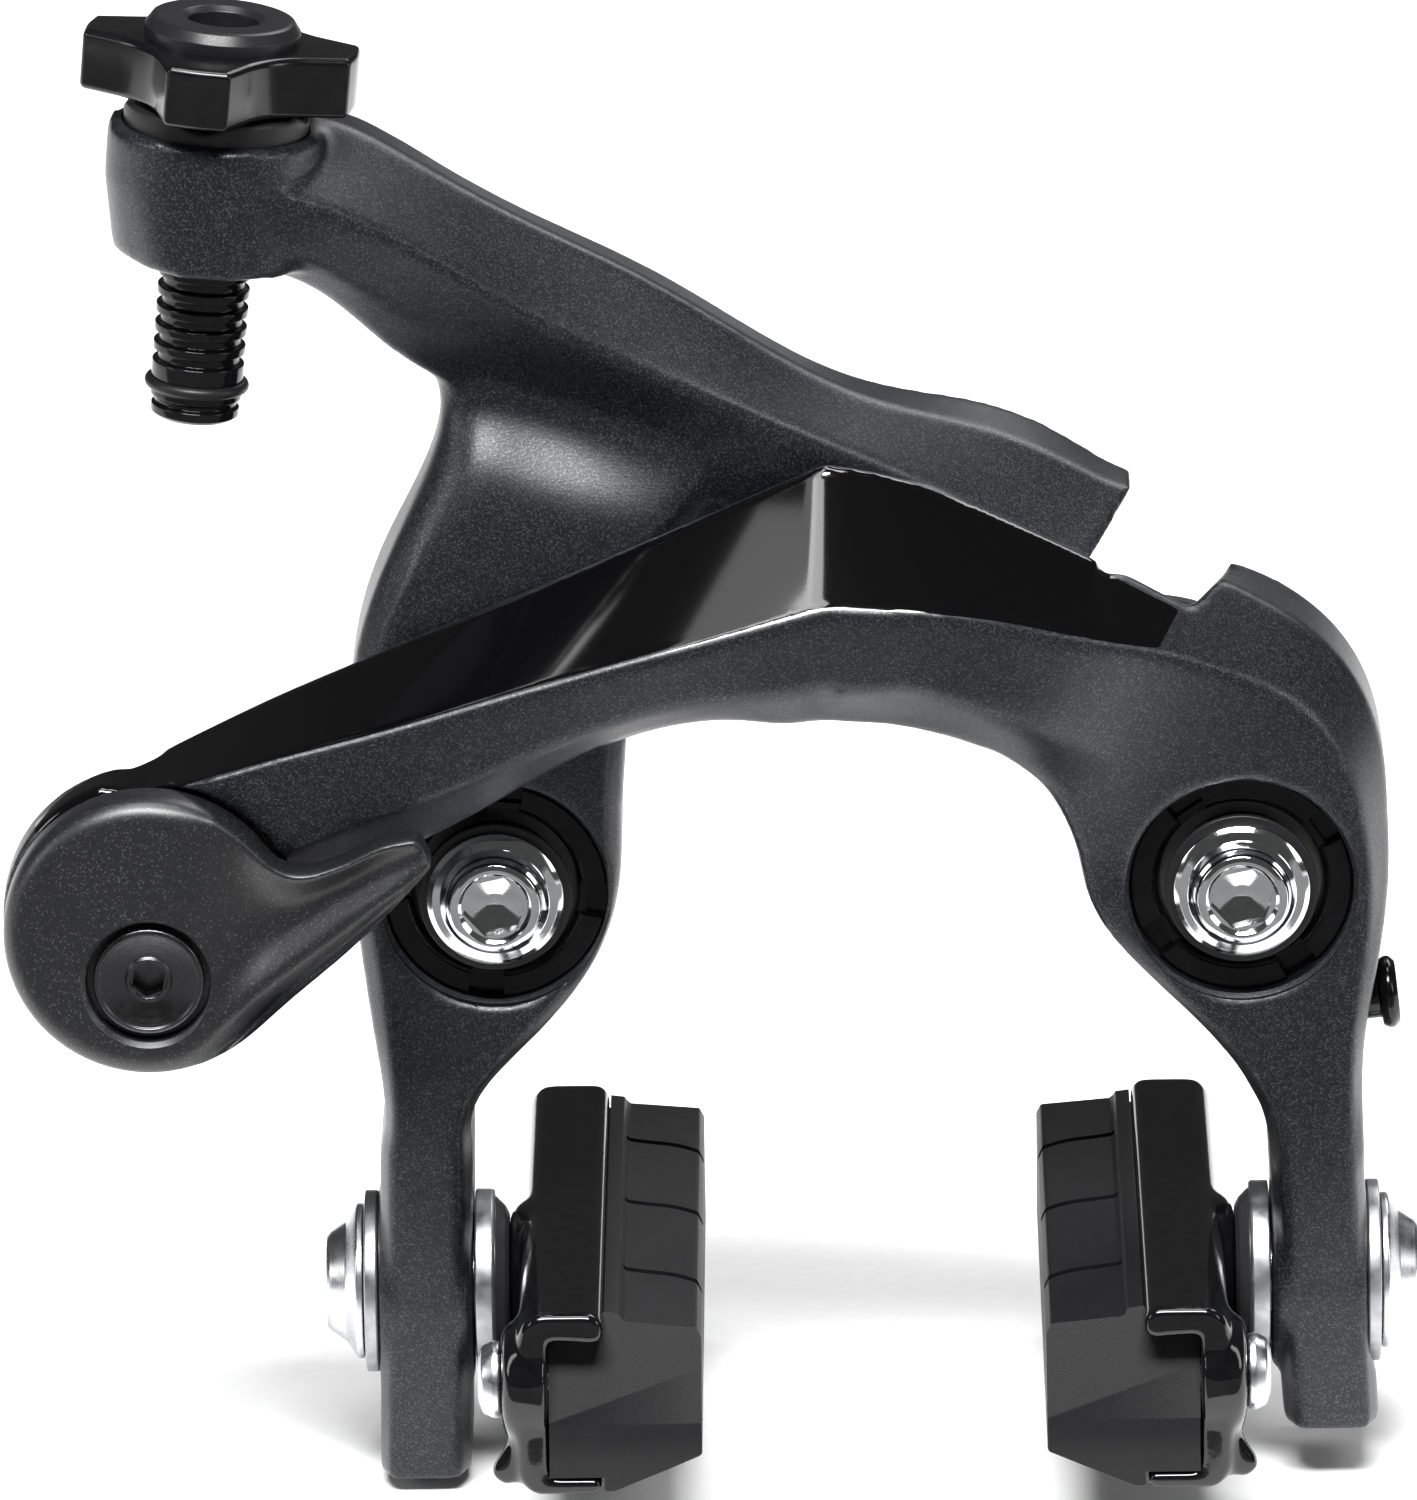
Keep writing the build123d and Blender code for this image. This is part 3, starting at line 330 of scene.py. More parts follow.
# ---- materials ----
class Shader:
    """A node material under construction. Values are numbers, colours or other nodes' outputs."""

    def __init__(self, name):
        self.mat = bpy.data.materials.new(name)
        self.mat.use_nodes = True
        self.tree = self.mat.node_tree
        self.bsdf = self.tree.nodes["Principled BSDF"]
        coords = self.tree.nodes.new("ShaderNodeTexCoord").outputs["Object"]
        to_mm = (1 / MM, 1 / MM, 1 / MM)
        self.point = self.node("ShaderNodeVectorMath", "Vector", coords, to_mm, operation="MULTIPLY")

    def node(self, kind, output, *values, **settings):
        """Adds a node; positional values go to its inputs in order, None leaves one alone."""
        node = self.tree.nodes.new(kind)
        named = settings.pop("inputs", {})
        for key, value in settings.items():
            setattr(node, key, value)
        for socket, value in [*zip(node.inputs, values), *((node.inputs[k], v) for k, v in named.items())]:
            self.give(socket, value)
        return node.outputs[output]

    def give(self, socket, value):
        if value is None:
            return
        if isinstance(value, bpy.types.NodeSocket):
            self.tree.links.new(value, socket)
        elif isinstance(value, tuple) and len(value) == 3 and socket.type == "RGBA":
            socket.default_value = (*value, 1)
        else:
            socket.default_value = value

    def noise(self, scale, detail=2.0, stretch=None):
        """Soft noise; scale is per mm, stretch squeezes it along the axes."""
        point = self.point
        if stretch is not None:
            point = self.node("ShaderNodeVectorMath", "Vector", point, stretch, operation="MULTIPLY")
        return self.node("ShaderNodeTexNoise", "Fac", inputs={
            "Vector": point, "Scale": scale, "Detail": detail})

    def flecks(self, scale):
        return self.node("ShaderNodeTexVoronoi", "Color", inputs={"Vector": self.point, "Scale": scale})

    def span(self, value, low, high, to_low=0.0, to_high=1.0):
        """Maps value from low..high to to_low..to_high, clamped."""
        return self.node("ShaderNodeMapRange", "Result", value, low, high, to_low, to_high)

    def math(self, operation, a, b=None):
        return self.node("ShaderNodeMath", "Value", a, b, operation=operation)

    def mix(self, share, a, b):
        """Colour a to colour b by share."""
        node = self.tree.nodes.new("ShaderNodeMix")
        node.data_type = "RGBA"
        self.give(node.inputs[0], share)
        self.give(node.inputs[6], a)
        self.give(node.inputs[7], b)
        return node.outputs[2]

    def blend(self, share, a, b):
        """Number a to number b by share."""
        node = self.tree.nodes.new("ShaderNodeMix")
        node.data_type = "FLOAT"
        self.give(node.inputs[0], share)
        self.give(node.inputs[2], a)
        self.give(node.inputs[3], b)
        return node.outputs[0]

    def bump(self, height, depth, strength):
        """Bump whose full height is depth mm."""
        return self.node("ShaderNodeBump", "Normal", inputs={
            "Strength": strength, "Distance": depth * MM, "Height": height})

    def done(self, **values):
        for key, value in values.items():
            self.give(self.bsdf.inputs[key.replace("_", " ")], value)
        return self.mat


def paint_material(name, panel=False):
    """Satin dark grey lacquer with fine metallic flecks.

    With panel, it is gloss black where the mesh's gloss_panel attribute is above 0.
    """
    s = Shader(name)
    grain = s.noise(9.0, 4.0)
    cloud = s.noise(0.35, 2.0)
    fleck = s.node("ShaderNodeSeparateColor", "Red", s.flecks(11.5))
    spark = s.span(fleck, 0.70, 1.0)
    base = s.mix(s.span(grain, 0.35, 0.65), (0.0015, 0.0018, 0.0026), (0.0050, 0.0056, 0.0074))
    base = s.mix(s.span(cloud, 0.35, 0.7, 0.0, 0.3), base, (0.0065, 0.0072, 0.0092))
    base = s.mix(spark, base, (0.062, 0.067, 0.080))
    rough = s.blend(spark, s.span(grain, 0.3, 0.7, 0.33, 0.41), 0.30)
    metal = s.blend(spark, 0.30, 0.60)
    skin = s.math("ADD", s.noise(4.5, 3.0), s.math("MULTIPLY", fleck, 0.13))
    normal = s.bump(skin, 0.022, 0.6)
    if not panel:
        return s.done(Base_Color=base, Metallic=metal, Roughness=rough, Normal=normal,
                      Specular_IOR_Level=0.62)
    mask = s.node("ShaderNodeAttribute", "Fac", attribute_name="gloss_panel")
    gloss = s.span(mask, -0.03, 0.03)
    dust = s.noise(14.0, 2.0)
    base = s.mix(gloss, base, (0.0012, 0.0012, 0.0014))
    metal = s.blend(gloss, metal, 0.0)
    rough = s.blend(gloss, rough, s.span(dust, 0.4, 0.75, 0.06, 0.11))
    wave = s.bump(s.noise(0.22, 1.0), 0.02, 0.2)
    normal = s.mix(gloss, normal, wave)
    return s.done(Base_Color=base, Metallic=metal, Roughness=rough, Normal=normal,
                  Specular_IOR_Level=s.blend(gloss, 0.62, 0.5))


def anodised_material():
    """Dark satin anodised aluminium with a very fine blasted grain."""
    s = Shader("satin_anodised")
    grain = s.noise(11.0, 3.0)
    fleck = s.node("ShaderNodeSeparateColor", "Green", s.flecks(11.0))
    base = s.mix(s.span(grain, 0.3, 0.7), (0.0030, 0.0032, 0.0040), (0.0070, 0.0074, 0.0088))
    base = s.mix(s.span(fleck, 0.9, 0.99), base, (0.05, 0.05, 0.055))
    normal = s.bump(grain, 0.012, 0.5)
    return s.done(Base_Color=base, Metallic=0.2, Roughness=s.span(grain, 0.3, 0.7, 0.35, 0.42),
                  Specular_IOR_Level=0.75, Normal=normal)


def gloss_black_material(name, rough=0.09, wave=0.5, shine=0.5):
    """Gloss black lacquer with a slight orange peel and a few dust specks."""
    s = Shader(name)
    peel = s.noise(0.9, 2.0)
    dust = s.span(s.noise(6.0, 3.0), 0.62, 0.75)
    base = s.mix(s.span(peel, 0.3, 0.7), (0.0016, 0.0016, 0.0019), (0.0032, 0.0032, 0.0037))
    return s.done(Base_Color=base, Roughness=s.blend(dust, rough, rough + 0.12),
                  Specular_IOR_Level=shine, Normal=s.bump(peel, 0.02, wave))


def satin_black_material(name, tone, rough):
    """Moulded or blasted black part with a fine matt grain."""
    s = Shader(name)
    grain = s.noise(8.0, 4.0)
    base = s.mix(s.span(grain, 0.3, 0.7), tuple(c * 0.8 for c in tone), tuple(c * 1.25 for c in tone))
    return s.done(Base_Color=base, Roughness=s.span(grain, 0.3, 0.7, rough - 0.05, rough + 0.06),
                  Specular_IOR_Level=0.3, Normal=s.bump(grain, 0.012, 0.5))


def metal_material(name, tone, rough, centre, axis, ring=9.0, depth=0.006):
    """Turned metal: fine rings about an axis through centre, and faint stains."""
    s = Shader(name)
    away = s.node("ShaderNodeVectorMath", "Vector", s.point, tuple(centre), operation="SUBTRACT")
    flat = tuple(0.0 if a else 1.0 for a in axis)
    away = s.node("ShaderNodeVectorMath", "Vector", away, flat, operation="MULTIPLY")
    radius = s.node("ShaderNodeVectorMath", "Value", away, operation="LENGTH")
    rings = s.node("ShaderNodeTexNoise", "Fac", inputs={"W": radius, "Scale": ring, "Detail": 3.0},
                   noise_dimensions="1D")
    stain = s.noise(0.8, 4.0)
    base = s.mix(s.span(stain, 0.35, 0.7), tone, tuple(c * 0.82 for c in tone))
    worn = s.span(stain, 0.3, 0.7, rough * 0.75, rough * 1.3)
    rough_now = s.math("ADD", worn, s.span(rings, 0.35, 0.65, 0, 0.06))
    return s.done(Base_Color=base, Metallic=1.0, Roughness=rough_now, Normal=s.bump(rings, depth, 0.6))


def chrome_material(name, tone=(0.78, 0.79, 0.80), rough=0.07):
    """Bright plated steel with fine handling scratches."""
    s = Shader(name)
    scratch = s.noise(5.0, 3.0, (1.0, 1.0, 9.0))
    stain = s.noise(1.1, 3.0)
    base = s.mix(s.span(stain, 0.35, 0.7), tone, tuple(c * 0.88 for c in tone))
    worn = s.span(stain, 0.3, 0.7, rough * 0.7, rough * 1.3)
    rough_now = s.math("ADD", worn, s.span(scratch, 0.6, 0.75, 0, 0.08))
    return s.done(Base_Color=base, Metallic=1.0, Roughness=rough_now, Normal=s.bump(scratch, 0.004, 0.3))


def rubber_material(name, tone, rough):
    """Moulded rubber, slightly mottled."""
    s = Shader(name)
    fine = s.noise(9.0, 4.0)
    cloud = s.noise(0.6, 3.0)
    base = s.mix(s.span(fine, 0.3, 0.7), tuple(c * 0.8 for c in tone), tuple(c * 1.2 for c in tone))
    base = s.mix(s.span(cloud, 0.4, 0.7, 0.0, 0.3), base, tuple(c * 1.5 for c in tone))
    return s.done(Base_Color=base, Roughness=s.span(fine, 0.3, 0.7, rough - 0.07, rough + 0.07),
                  Specular_IOR_Level=0.3, Normal=s.bump(fine, 0.02, 0.6))


def finish_piece(obj, material, body, node, smooth):
    """Gives a new piece its material, its body and the CAD node that it stands for."""
    obj.data.materials.clear()
    obj.data.materials.append(material)
    sharp(obj, smooth)
    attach(obj, body)
    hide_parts(node)


PAINT = paint_material("flecked_paint")
PAINT_PANEL = paint_material("flecked_paint_and_gloss", panel=True)
ANODISED = anodised_material()
GLOSS = gloss_black_material("gloss_black")
RING_GLOSS = gloss_black_material("gloss_black_rings", 0.14, 0.2, 0.18)
KNOB_GLOSS = gloss_black_material("gloss_plastic", 0.2, 0.35, 0.35)
SATIN = satin_black_material("satin_black", (0.006, 0.006, 0.0066), 0.42)
CAP_SATIN = satin_black_material("satin_cap", (0.008, 0.008, 0.009), 0.34)
OXIDE = satin_black_material("black_oxide", (0.02, 0.02, 0.022), 0.34)
RUBBER = rubber_material("pad_rubber", (0.0035, 0.0036, 0.0043), 0.5)
SOFT_RUBBER = rubber_material("o_ring_rubber", (0.006, 0.006, 0.0066), 0.4)
POLYMER = satin_black_material("bush_polymer", (0.03, 0.03, 0.028), 0.5)
BLACK_ANODISED = gloss_black_material("black_anodised", 0.13, 0.1, 0.3)
CHROME = chrome_material("chrome")
SHOE_BOLT, ANCHOR = (0, SHOE_Y, SHOE_Z), (LEVER_X, 0, ANCHOR_Z)
ALONG_X, ALONG_Y = (1, 0, 0), (0, 1, 0)
BOLT_STEEL = {
    name: metal_material("bolt_steel_" + name, (0.58, 0.59, 0.61), 0.26, SHOE_BOLT, ALONG_X)
    for name in ("left", "right")
}
ZINC = metal_material("zinc_washer", (0.40, 0.405, 0.415), 0.40, SHOE_BOLT, ALONG_X, 7.0, 0.01)
ZINC_PIVOT = metal_material("zinc_sleeve", (0.52, 0.53, 0.54), 0.28, (PIVOT_X, 0, 0), ALONG_Y, 7.0, 0.01)
ZINC_ROLLER = metal_material("steel_roller", (0.50, 0.51, 0.52), 0.2, (0, 0, ROLLER_Z), ALONG_Y, 7.0, 0.01)
ZINC_ANCHOR = metal_material("zinc_clamp", (0.52, 0.53, 0.54), 0.3, ANCHOR, ALONG_Y, 7.0, 0.01)
DARK_STEEL = metal_material("dark_turned_steel", (0.10, 0.10, 0.105), 0.24, ANCHOR, ALONG_Y, 8.0, 0.01)
SATIN_STEEL = chrome_material("satin_steel", (0.55, 0.56, 0.58), 0.30)
SPRING_STEEL = chrome_material("spring_steel", (0.35, 0.35, 0.36), 0.25)


# ---- arms: the CAD solid, bores filled, its edges melted into forged curves, then its bores cut again ----
ARM_VOXEL = 0.34
PIVOT_PLUG_R, SHOE_PLUG_R = 8.9, 5.8
SLOT_R, SLOT_HALF = 3.1, 2.5


def front_bore(x, z, *profile):
    """Cutter turned about an axis along Y; profile is (radius, y)."""
    return lathe("bore", [(r, -y) for r, y in profile], front(x, 0, z), 128, closed=False)


def pivot_bore(x, front_y):
    """Stepped bore for the sleeve, the bush and the lock ring, chamfered at the front face."""
    return front_bore(x, 0, (0, 4), (8.2, 4), (8.2, -8.0), (6.2, -8.0), (6.2, -12.6), (8.45, -12.6),
                      (8.45, front_y + 0.25), (8.75, front_y - 0.05), (8.75, -30), (0, -30))


def side_slot(side):
    """Cutter for the shoe bolt's slot."""
    points = []
    for k in range(48):
        t = 2 * math.pi * k / 48
        rise = SLOT_HALF if math.sin(t) >= 0 else -SLOT_HALF
        points.append((SLOT_R * math.cos(t), SLOT_R * math.sin(t) + rise))
    return prism("slot", [points], outward(side, 0, SHOE_Y, SHOE_Z), 20, 45, 0.01, 0)


def deepen_scoop(pts, normals):
    """Draws the front of the rear arm's scoop back."""
    move = np.zeros_like(pts)
    move[:, 1] = np.clip(-normals[:, 1], 0, 1) * (1.6 * blob(pts, (-24.5, 36.5), (15, 5.5), -27))
    return move


def slim_lug(pts, normals):
    """Draws the lower left side of the adjuster's lug in."""
    move = np.zeros_like(pts)
    move[:, 0] = 1.4 * np.clip((56 - pts[:, 2]) / 8, 0, 1) * np.clip((-50.5 - pts[:, 0]) / 4, 0, 1)
    return move


left = cad_copy("left_arm", "rear_arm")
join(
    left,
    plug(front(-PIVOT_X, 0, 0), PIVOT_PLUG_R, 2.45, 14.45),
    plug(outward(-1, 0, SHOE_Y, SHOE_Z), SHOE_PLUG_R, 30.3, 37.35),
    plug(adjuster(0), 4.2, -4.7, 5.2),
    plug(adjuster(0), 7.2, 3.5, 5.2),
    plug(front(-11.3, 0, 28.3), 4.0, 3.6, 11.4),
)
remesh(left, ARM_VOXEL)
shift(left, deepen_scoop)
shift(left, slim_lug)
relax(left, 11)
relax(left, 50, near((-25, 33), (17, 12)))
cut(left, [
    pivot_bore(-PIVOT_X, -14.5),
    side_slot(-1),
    lathe("bore", [(0, -12), (3.55, -12), (3.55, 4.0), (7.05, 4.0), (7.05, 20), (0, 20)],
          adjuster(0), closed=False),
])
finish_piece(left, PAINT, "left_side", "left_arm", smooth=40)

# The gloss panel lies between the ridge and the top edge of the front arm's sections:
# (x of ridge, y, z), (x of top, y, z), from the lever to the knee, with a crease on the way.
PANEL = [
    ((-62.0, -24.4, 8.3), (-62.2, -22.6, 9.4)),
    ((-52.2, -25.6, 11.7), (-52.6, -18.0, 12.6)),
    ((-44.1, -26.0, 14.1), (-44.7, -17.0, 16.2)),
    ((-35.7, -26.0, 16.2), (-36.6, -17.0, 19.7)),
    ((-25.4, -26.0, 19.1), (-26.6, -17.0, 23.9)),
    ((-13.6, -26.0, 22.2), (-14.5, -17.0, 29.0)),
    ((-2.8, -26.0, 25.1), (-2.9, -17.0, 34.1)),
    ((2.1, -25.9, 24.8), (2.6, -17.0, 32.9)),
    ((8.2, -25.2, 24.0), (9.2, -17.0, 30.3)),
    ((16.0, -23.0, 21.8), (17.4, -17.0, 26.3)),
    ((23.6, -19.9, 20.0), (24.6, -18.0, 22.9)),
]
CREASE_ROW = 6
CREASE_ROUND = 1.2
PANEL_DEPTH = 2.2
PANEL_END_X = -62.0


def panel_lines(rows, crease, per):
    """The panel's ridge and top edge as smooth lines with a corner at the crease."""
    lines = []
    for k in (0, 1):
        points = [row[k] for row in rows]
        lines.append(np.array(curve(points[:crease + 1], per) + curve(points[crease:], per)[1:]))
    return lines


RIDGE_LINE, TOP_LINE = panel_lines(PANEL, CREASE_ROW, 8)


def panel_strip():
    """Solid that fills the front arm out to the panel."""
    back = Vector((0, PANEL_DEPTH, -0.8))
    verts = []
    for ridge, top in zip(*panel_lines(PANEL[1:-1], CREASE_ROW - 1, 6)):
        r, t = Vector(ridge), Vector(top)
        verts += [r, t, t + back, r + back]
    n = len(verts)
    faces = [(0, 1, 2, 3), (n - 4, n - 3, n - 2, n - 1)]
    for a in range(0, n - 4, 4):
        faces += [(a + k, a + (k + 1) % 4, a + 4 + (k + 1) % 4, a + 4 + k) for k in range(4)]
    return make("strip", verts, faces)


def arch_fill():
    """Filler behind the bridge's lower edge, which makes the arch one smooth curve."""
    lower = [(-20, 12.7), (-14, 14.35), (-8, 14.5), (-3, 14.35), (2.5, 13.9), (6.5, 12.8), (8.6, 12.0)]
    upper = [(9, 16), (2, 18), (-8, 20), (-20, 17)]
    return prism("arch", [curve(lower, 6) + upper], front(0, 0, 0), 15.7, 19.4, 0.3, 2)


def shoulder_step():
    """Cutter for the step behind the panel's tip: an outline in x-z that sinks towards the back."""
    front_y, fall = -17.8, 0.325
    points = [(16.2, 27.3), (24.3, 22.8), (27.4, 26.0), (27.4, 44), (16.2, 44)]
    n = len(points)
    verts = [(x, front_y, z) for x, z in points] + [(x, 0, z + fall * front_y) for x, z in points]
    sides = [(k, (k + 1) % n, n + (k + 1) % n, n + k) for k in range(n)]
    return make("block", verts, [tuple(range(n)), tuple(range(n, 2 * n))] + sides)


def swell_shoulder(pts, normals):
    """Rounds the right shoulder outwards and up."""
    grow = blob(pts, (36.0, 14.5), (12, 12))
    move = np.zeros_like(pts)
    move[:, 0] = grow * np.clip(normals[:, 0], 0, 1)
    move[:, 2] = grow * np.clip(normals[:, 2], 0, 1)
    return move


def lift_arch(pts, normals):
    """Lifts the bridge's lower edge left of the filler."""
    move = np.zeros_like(pts)
    move[:, 2] = 0.5 * blob(pts, (-9.0, 14.0), (6, 3)) * np.clip(-normals[:, 2], 0, 1)
    return move


def line_at(line, x):
    """The line's y and z at x, averaged over a short run so that its corner is round."""
    steps = np.linspace(-CREASE_ROUND, CREASE_ROUND, 5)
    found = [np.stack([np.interp(x + step, line[:, 0], line[:, k]) for k in (1, 2)], 1) for step in steps]
    return sum(found) / len(steps)


def panel_place(pts):
    """Distance inside the panel's border, below 0 outside, and the way from its surface in y-z."""
    ridge, top = line_at(RIDGE_LINE, pts[:, 0]), line_at(TOP_LINE, pts[:, 0])
    across = top - ridge
    width = np.linalg.norm(across, axis=1)
    away = pts[:, 1:] - ridge
    up = (away * across).sum(1) / width
    normal = np.stack([-across[:, 1], across[:, 0]], 1) / width[:, None]
    off = (away * normal).sum(1)
    tip = ((pts[:, 2] - 19.6) * 2.9 - (pts[:, 0] - 21.2) * 3.3) / 4.4
    inside = np.minimum.reduce([
        up - 0.45, width - up - 0.1, PANEL_DEPTH - np.abs(off), pts[:, 0] - PANEL_END_X, tip])
    return inside, off[:, None] * normal


def flatten_panel(pts, normals):
    """Moves the panel's skin onto its smooth surface, but for its two ends."""
    inside, off = panel_place(pts)
    ends = np.clip((18.5 - pts[:, 0]) / 3, 0, 1) * np.clip((pts[:, 0] + 57) / 3, 0, 1)
    move = np.zeros_like(pts)
    move[:, 1:] = -off * (ends * np.clip((inside - 0.1) / 0.6, 0, 1))[:, None]
    return move


def mark_panel(obj):
    """Writes the distance inside the panel's border to the mesh, for the paint."""
    co = np.zeros(len(obj.data.vertices) * 3)
    obj.data.vertices.foreach_get("co", co)
    inside = panel_place(co.reshape(-1, 3) / MM)[0]
    mask = obj.data.attributes.new("gloss_panel", "FLOAT", "POINT")
    mask.data.foreach_set("value", inside.astype(np.float32))


right = cad_copy("right_arm", "front_arm")
join(
    right,
    plug(front(PIVOT_X, 0, 0), PIVOT_PLUG_R, 2.45, 15.15),
    plug(outward(1, 0, SHOE_Y, SHOE_Z), SHOE_PLUG_R, 30.3, 37.35),
    plug(front(LEVER_X, 0, LEVER_Z), 7.8, 14.1, 24.0),
)
join(right, panel_strip(), arch_fill())
cut(right, [shoulder_step()])
remesh(right, ARM_VOXEL)
shift(right, swell_shoulder)
relax(right, 9)
shift(right, lift_arch)
relax(right, 40, near((-2.0, 14.5), (19, 5.0)))
relax(right, 30, near((11.0, 12.0), (8, 7)))
shift(right, flatten_panel)
cut(right, [
    pivot_bore(PIVOT_X, -15.2),
    side_slot(1),
    front_bore(LEVER_X, LEVER_Z, (0, 0), (7.45, 0), (7.45, -24.1), (11.1, -24.1), (11.1, -30), (0, -30)),
    front_bore(0, ROLLER_Z, (0, -10), (1.5, -10), (1.5, -18.5), (0, -18.5)),
])
mark_panel(right)
finish_piece(right, PAINT_PANEL, "right_side", "right_arm", smooth=40)

# ---- pivots: bolts, washers, lock rings, sleeves, bushes ----
def hex_hole(place, flats, low, high, turn):
    """Cutter for a hex socket, flats mm across."""
    r = flats / 2 / math.cos(math.radians(30))
    angles = [math.radians(60 * k + turn) for k in range(6)]
    corners = [(r * math.cos(t), r * math.sin(t)) for t in angles]
    return prism("hexagon", [corners], place, low, high, 0.005, 0)


def thread(radius, start, end, pitch, depth):
    """Crests and roots of a turned thread from start to end, as a profile part."""
    pts = []
    count = int((end - start) / pitch)
    for k in range(count):
        z = start + k * pitch
        pts += [(radius, z, 0.08), (radius, z + 0.3 * pitch, 0.08),
                (radius - depth, z + 0.55 * pitch, 0.06), (radius - depth, z + 0.75 * pitch, 0.06)]
    return pts


def both(build):
    """The same piece at the left and the right pivot, joined."""
    return join(build(-PIVOT_X), build(PIVOT_X))


def mounting_bolt(x):
    """Domed bolt with a hex socket and a threaded end."""
    profile = [(0, -11), (2.55, -11), (3.0, -10.5)] + thread(3.0, -10.3, -1.0, 1.0, 0.32) + [
        (3.0, -0.6), (3.0, 0), (2.68, 0), (2.68, 15.6), (5.1, 15.6), (5.15, 15.8, 0.1), (5.15, 16.15, 0.2),
        (4.72, 16.45, 0.15), (4.1, 16.62, 0.3), (3.62, 17.2, 0.8), (3.5, 17.95, 0.1), (3.38, 18.3, 0.15),
        (3.0, 18.42, 0.1), (2.75, 18.38, 0.05), (2.5, 18.15, 0.05), (2.45, 18.05), (0, 18.05)]
    bolt = lathe("bolt", profile, front(x, 0, 0), 128, closed=False)
    cone = lathe("cone", [(0, 16.1), (0.7, 16.35), (2.6, 16.9), (2.6, 30), (0, 30)],
                 front(x, 0, 0), 64, closed=False)
    hole = hex_hole(front(x, 0, 0), 4.2, 12, 30, 12)
    cut(hole, [cone], "INTERSECT")
    return cut(bolt, [hole])


def bolt_washer(x):
    section = [(3.05, 15.0), (5.75, 15.0, 0.12), (5.75, 15.6, 0.15), (3.05, 15.6)]
    return lathe("washer", section, front(x, 0, 0))


def pivot_sleeve(x):
    return lathe("sleeve", [
        (3.1, 0, 0.25), (7.5, 0, 0.25), (7.5, 1.0, 0.2), (5.0, 1.0, 0.1), (5.0, 15.0, 0.2), (3.1, 15.0, 0.2)],
        front(x, 0, 0))


finish_piece(both(mounting_bolt), CHROME, "mounting", "mounting_bolts", smooth=32)
finish_piece(both(bolt_washer), SATIN, "mounting", "bolt_washers", smooth=40)
finish_piece(both(pivot_sleeve), ZINC_PIVOT, "mounting", "pivot_sleeves", smooth=40)

for name, x, turn in (("left", -PIVOT_X, 84.0), ("right", PIVOT_X, 34.0)):
    ring = lathe("ring_" + name, [
        (6.25, 12.6), (6.25, 13.55, 0.1), (6.55, 14.0, 0.15), (6.75, 14.2, 0.12), (8.2, 14.2, 0.15),
        (8.45, 13.95, 0.1), (8.45, 12.6)], front(x, 0, 0), 160)
    for k in range(4):
        at = front(x, 0, 0, turn + 90 * k)
        outer = prism("slot", [[(6.9, -1.3), (6.9, 1.3), (9.5, 1.45), (9.5, -1.45)]], at, 13.15, 16, 0.01, 0)
        inner = prism("slot", [[(5.5, -1.1), (5.5, 1.1), (7.1, 1.25), (7.1, -1.25)]], at, 13.7, 16, 0.01, 0)
        cut(ring, [outer, inner])
    finish_piece(ring, RING_GLOSS, name + "_side", "lock_ring_" + name, smooth=30)
    bush = lathe("bush_" + name, [(5.05, 2.6, 0.2), (6.2, 2.6, 0.15), (6.2, 12.6, 0.15), (5.05, 12.6, 0.2)],
                 front(x, 0, 0))
    finish_piece(bush, POLYMER, name + "_side", "bush_" + name, smooth=40)

# ---- link roller ----
roller = lathe("roller", [
    (1.56, 5.0, 0.15), (3.0, 5.0, 0.1), (4.0, 5.5, 0.3), (4.0, 13.8, 0.3), (3.0, 14.3, 0.1),
    (1.56, 14.3, 0.15)], front(0, 0, ROLLER_Z))
finish_piece(roller, ZINC_ROLLER, "roller", "link_roller", smooth=40)

# ---- quick-release lever ----
# Outline and crease of the tail, from the lever's centre.
TAIL_TOP = [(5.2, 9.4), (7.8, 6.9), (10.9, 4.9), (14.2, 5.5), (17.4, 7.0), (20.3, 7.6)]
TAIL_LOW = [(21.3, 5.3), (18.4, 2.0), (14.6, -1.7), (10.5, -5.2), (6.7, -8.5), (3.6, -10.1)]
CREASE = [(-2.0, -11.0), (1.7, -8.9), (5.5, -6.3), (10.0, -2.5), (14.6, 1.1), (18.6, 3.9), (21.0, 5.6)]
TAIL_FACE_Y, DISH_DEPTH = -28.8, 2.1


def dish(pts, normals):
    """Forms the tail's face: a dish above its crease and a bevel below it."""
    x, z = pts[:, 0] - LEVER_X, pts[:, 2] - LEVER_Z
    low = np.interp(x, *np.array(curve(CREASE, 6)).T)
    top = np.interp(x, *np.array(curve([(-2.0, 12.5), (2.0, 11.2)] + TAIL_TOP, 6)).T)
    share = np.clip((z - low) / np.maximum(top - low, 0.5), 0, 1)
    grow = np.clip((x - 1.5) / 8.0, 0, 1)
    grow = grow * grow * (3 - 2 * grow)
    fade = np.clip((22.0 - x) / 8.0, 0, 1) ** 0.7
    deep = DISH_DEPTH * fade * np.sin(np.pi * share ** 0.8) + 0.8 * np.clip(low - z, 0, 3)
    facing = np.clip((-normals[:, 1] - 0.25) * 3, 0, 1)
    move = np.zeros_like(pts)
    move[:, 1] = facing * grow * (TAIL_FACE_Y + deep - pts[:, 1])
    return move


def tail_hollow(pts):
    """Weight for relax: the middle of the tail's face."""
    hollow = near((LEVER_X + 11, LEVER_Z - 1.2), (8, 3.4), 40)
    return hollow(pts) * np.clip((-26.0 - pts[:, 1]) / 0.6, 0, 1)


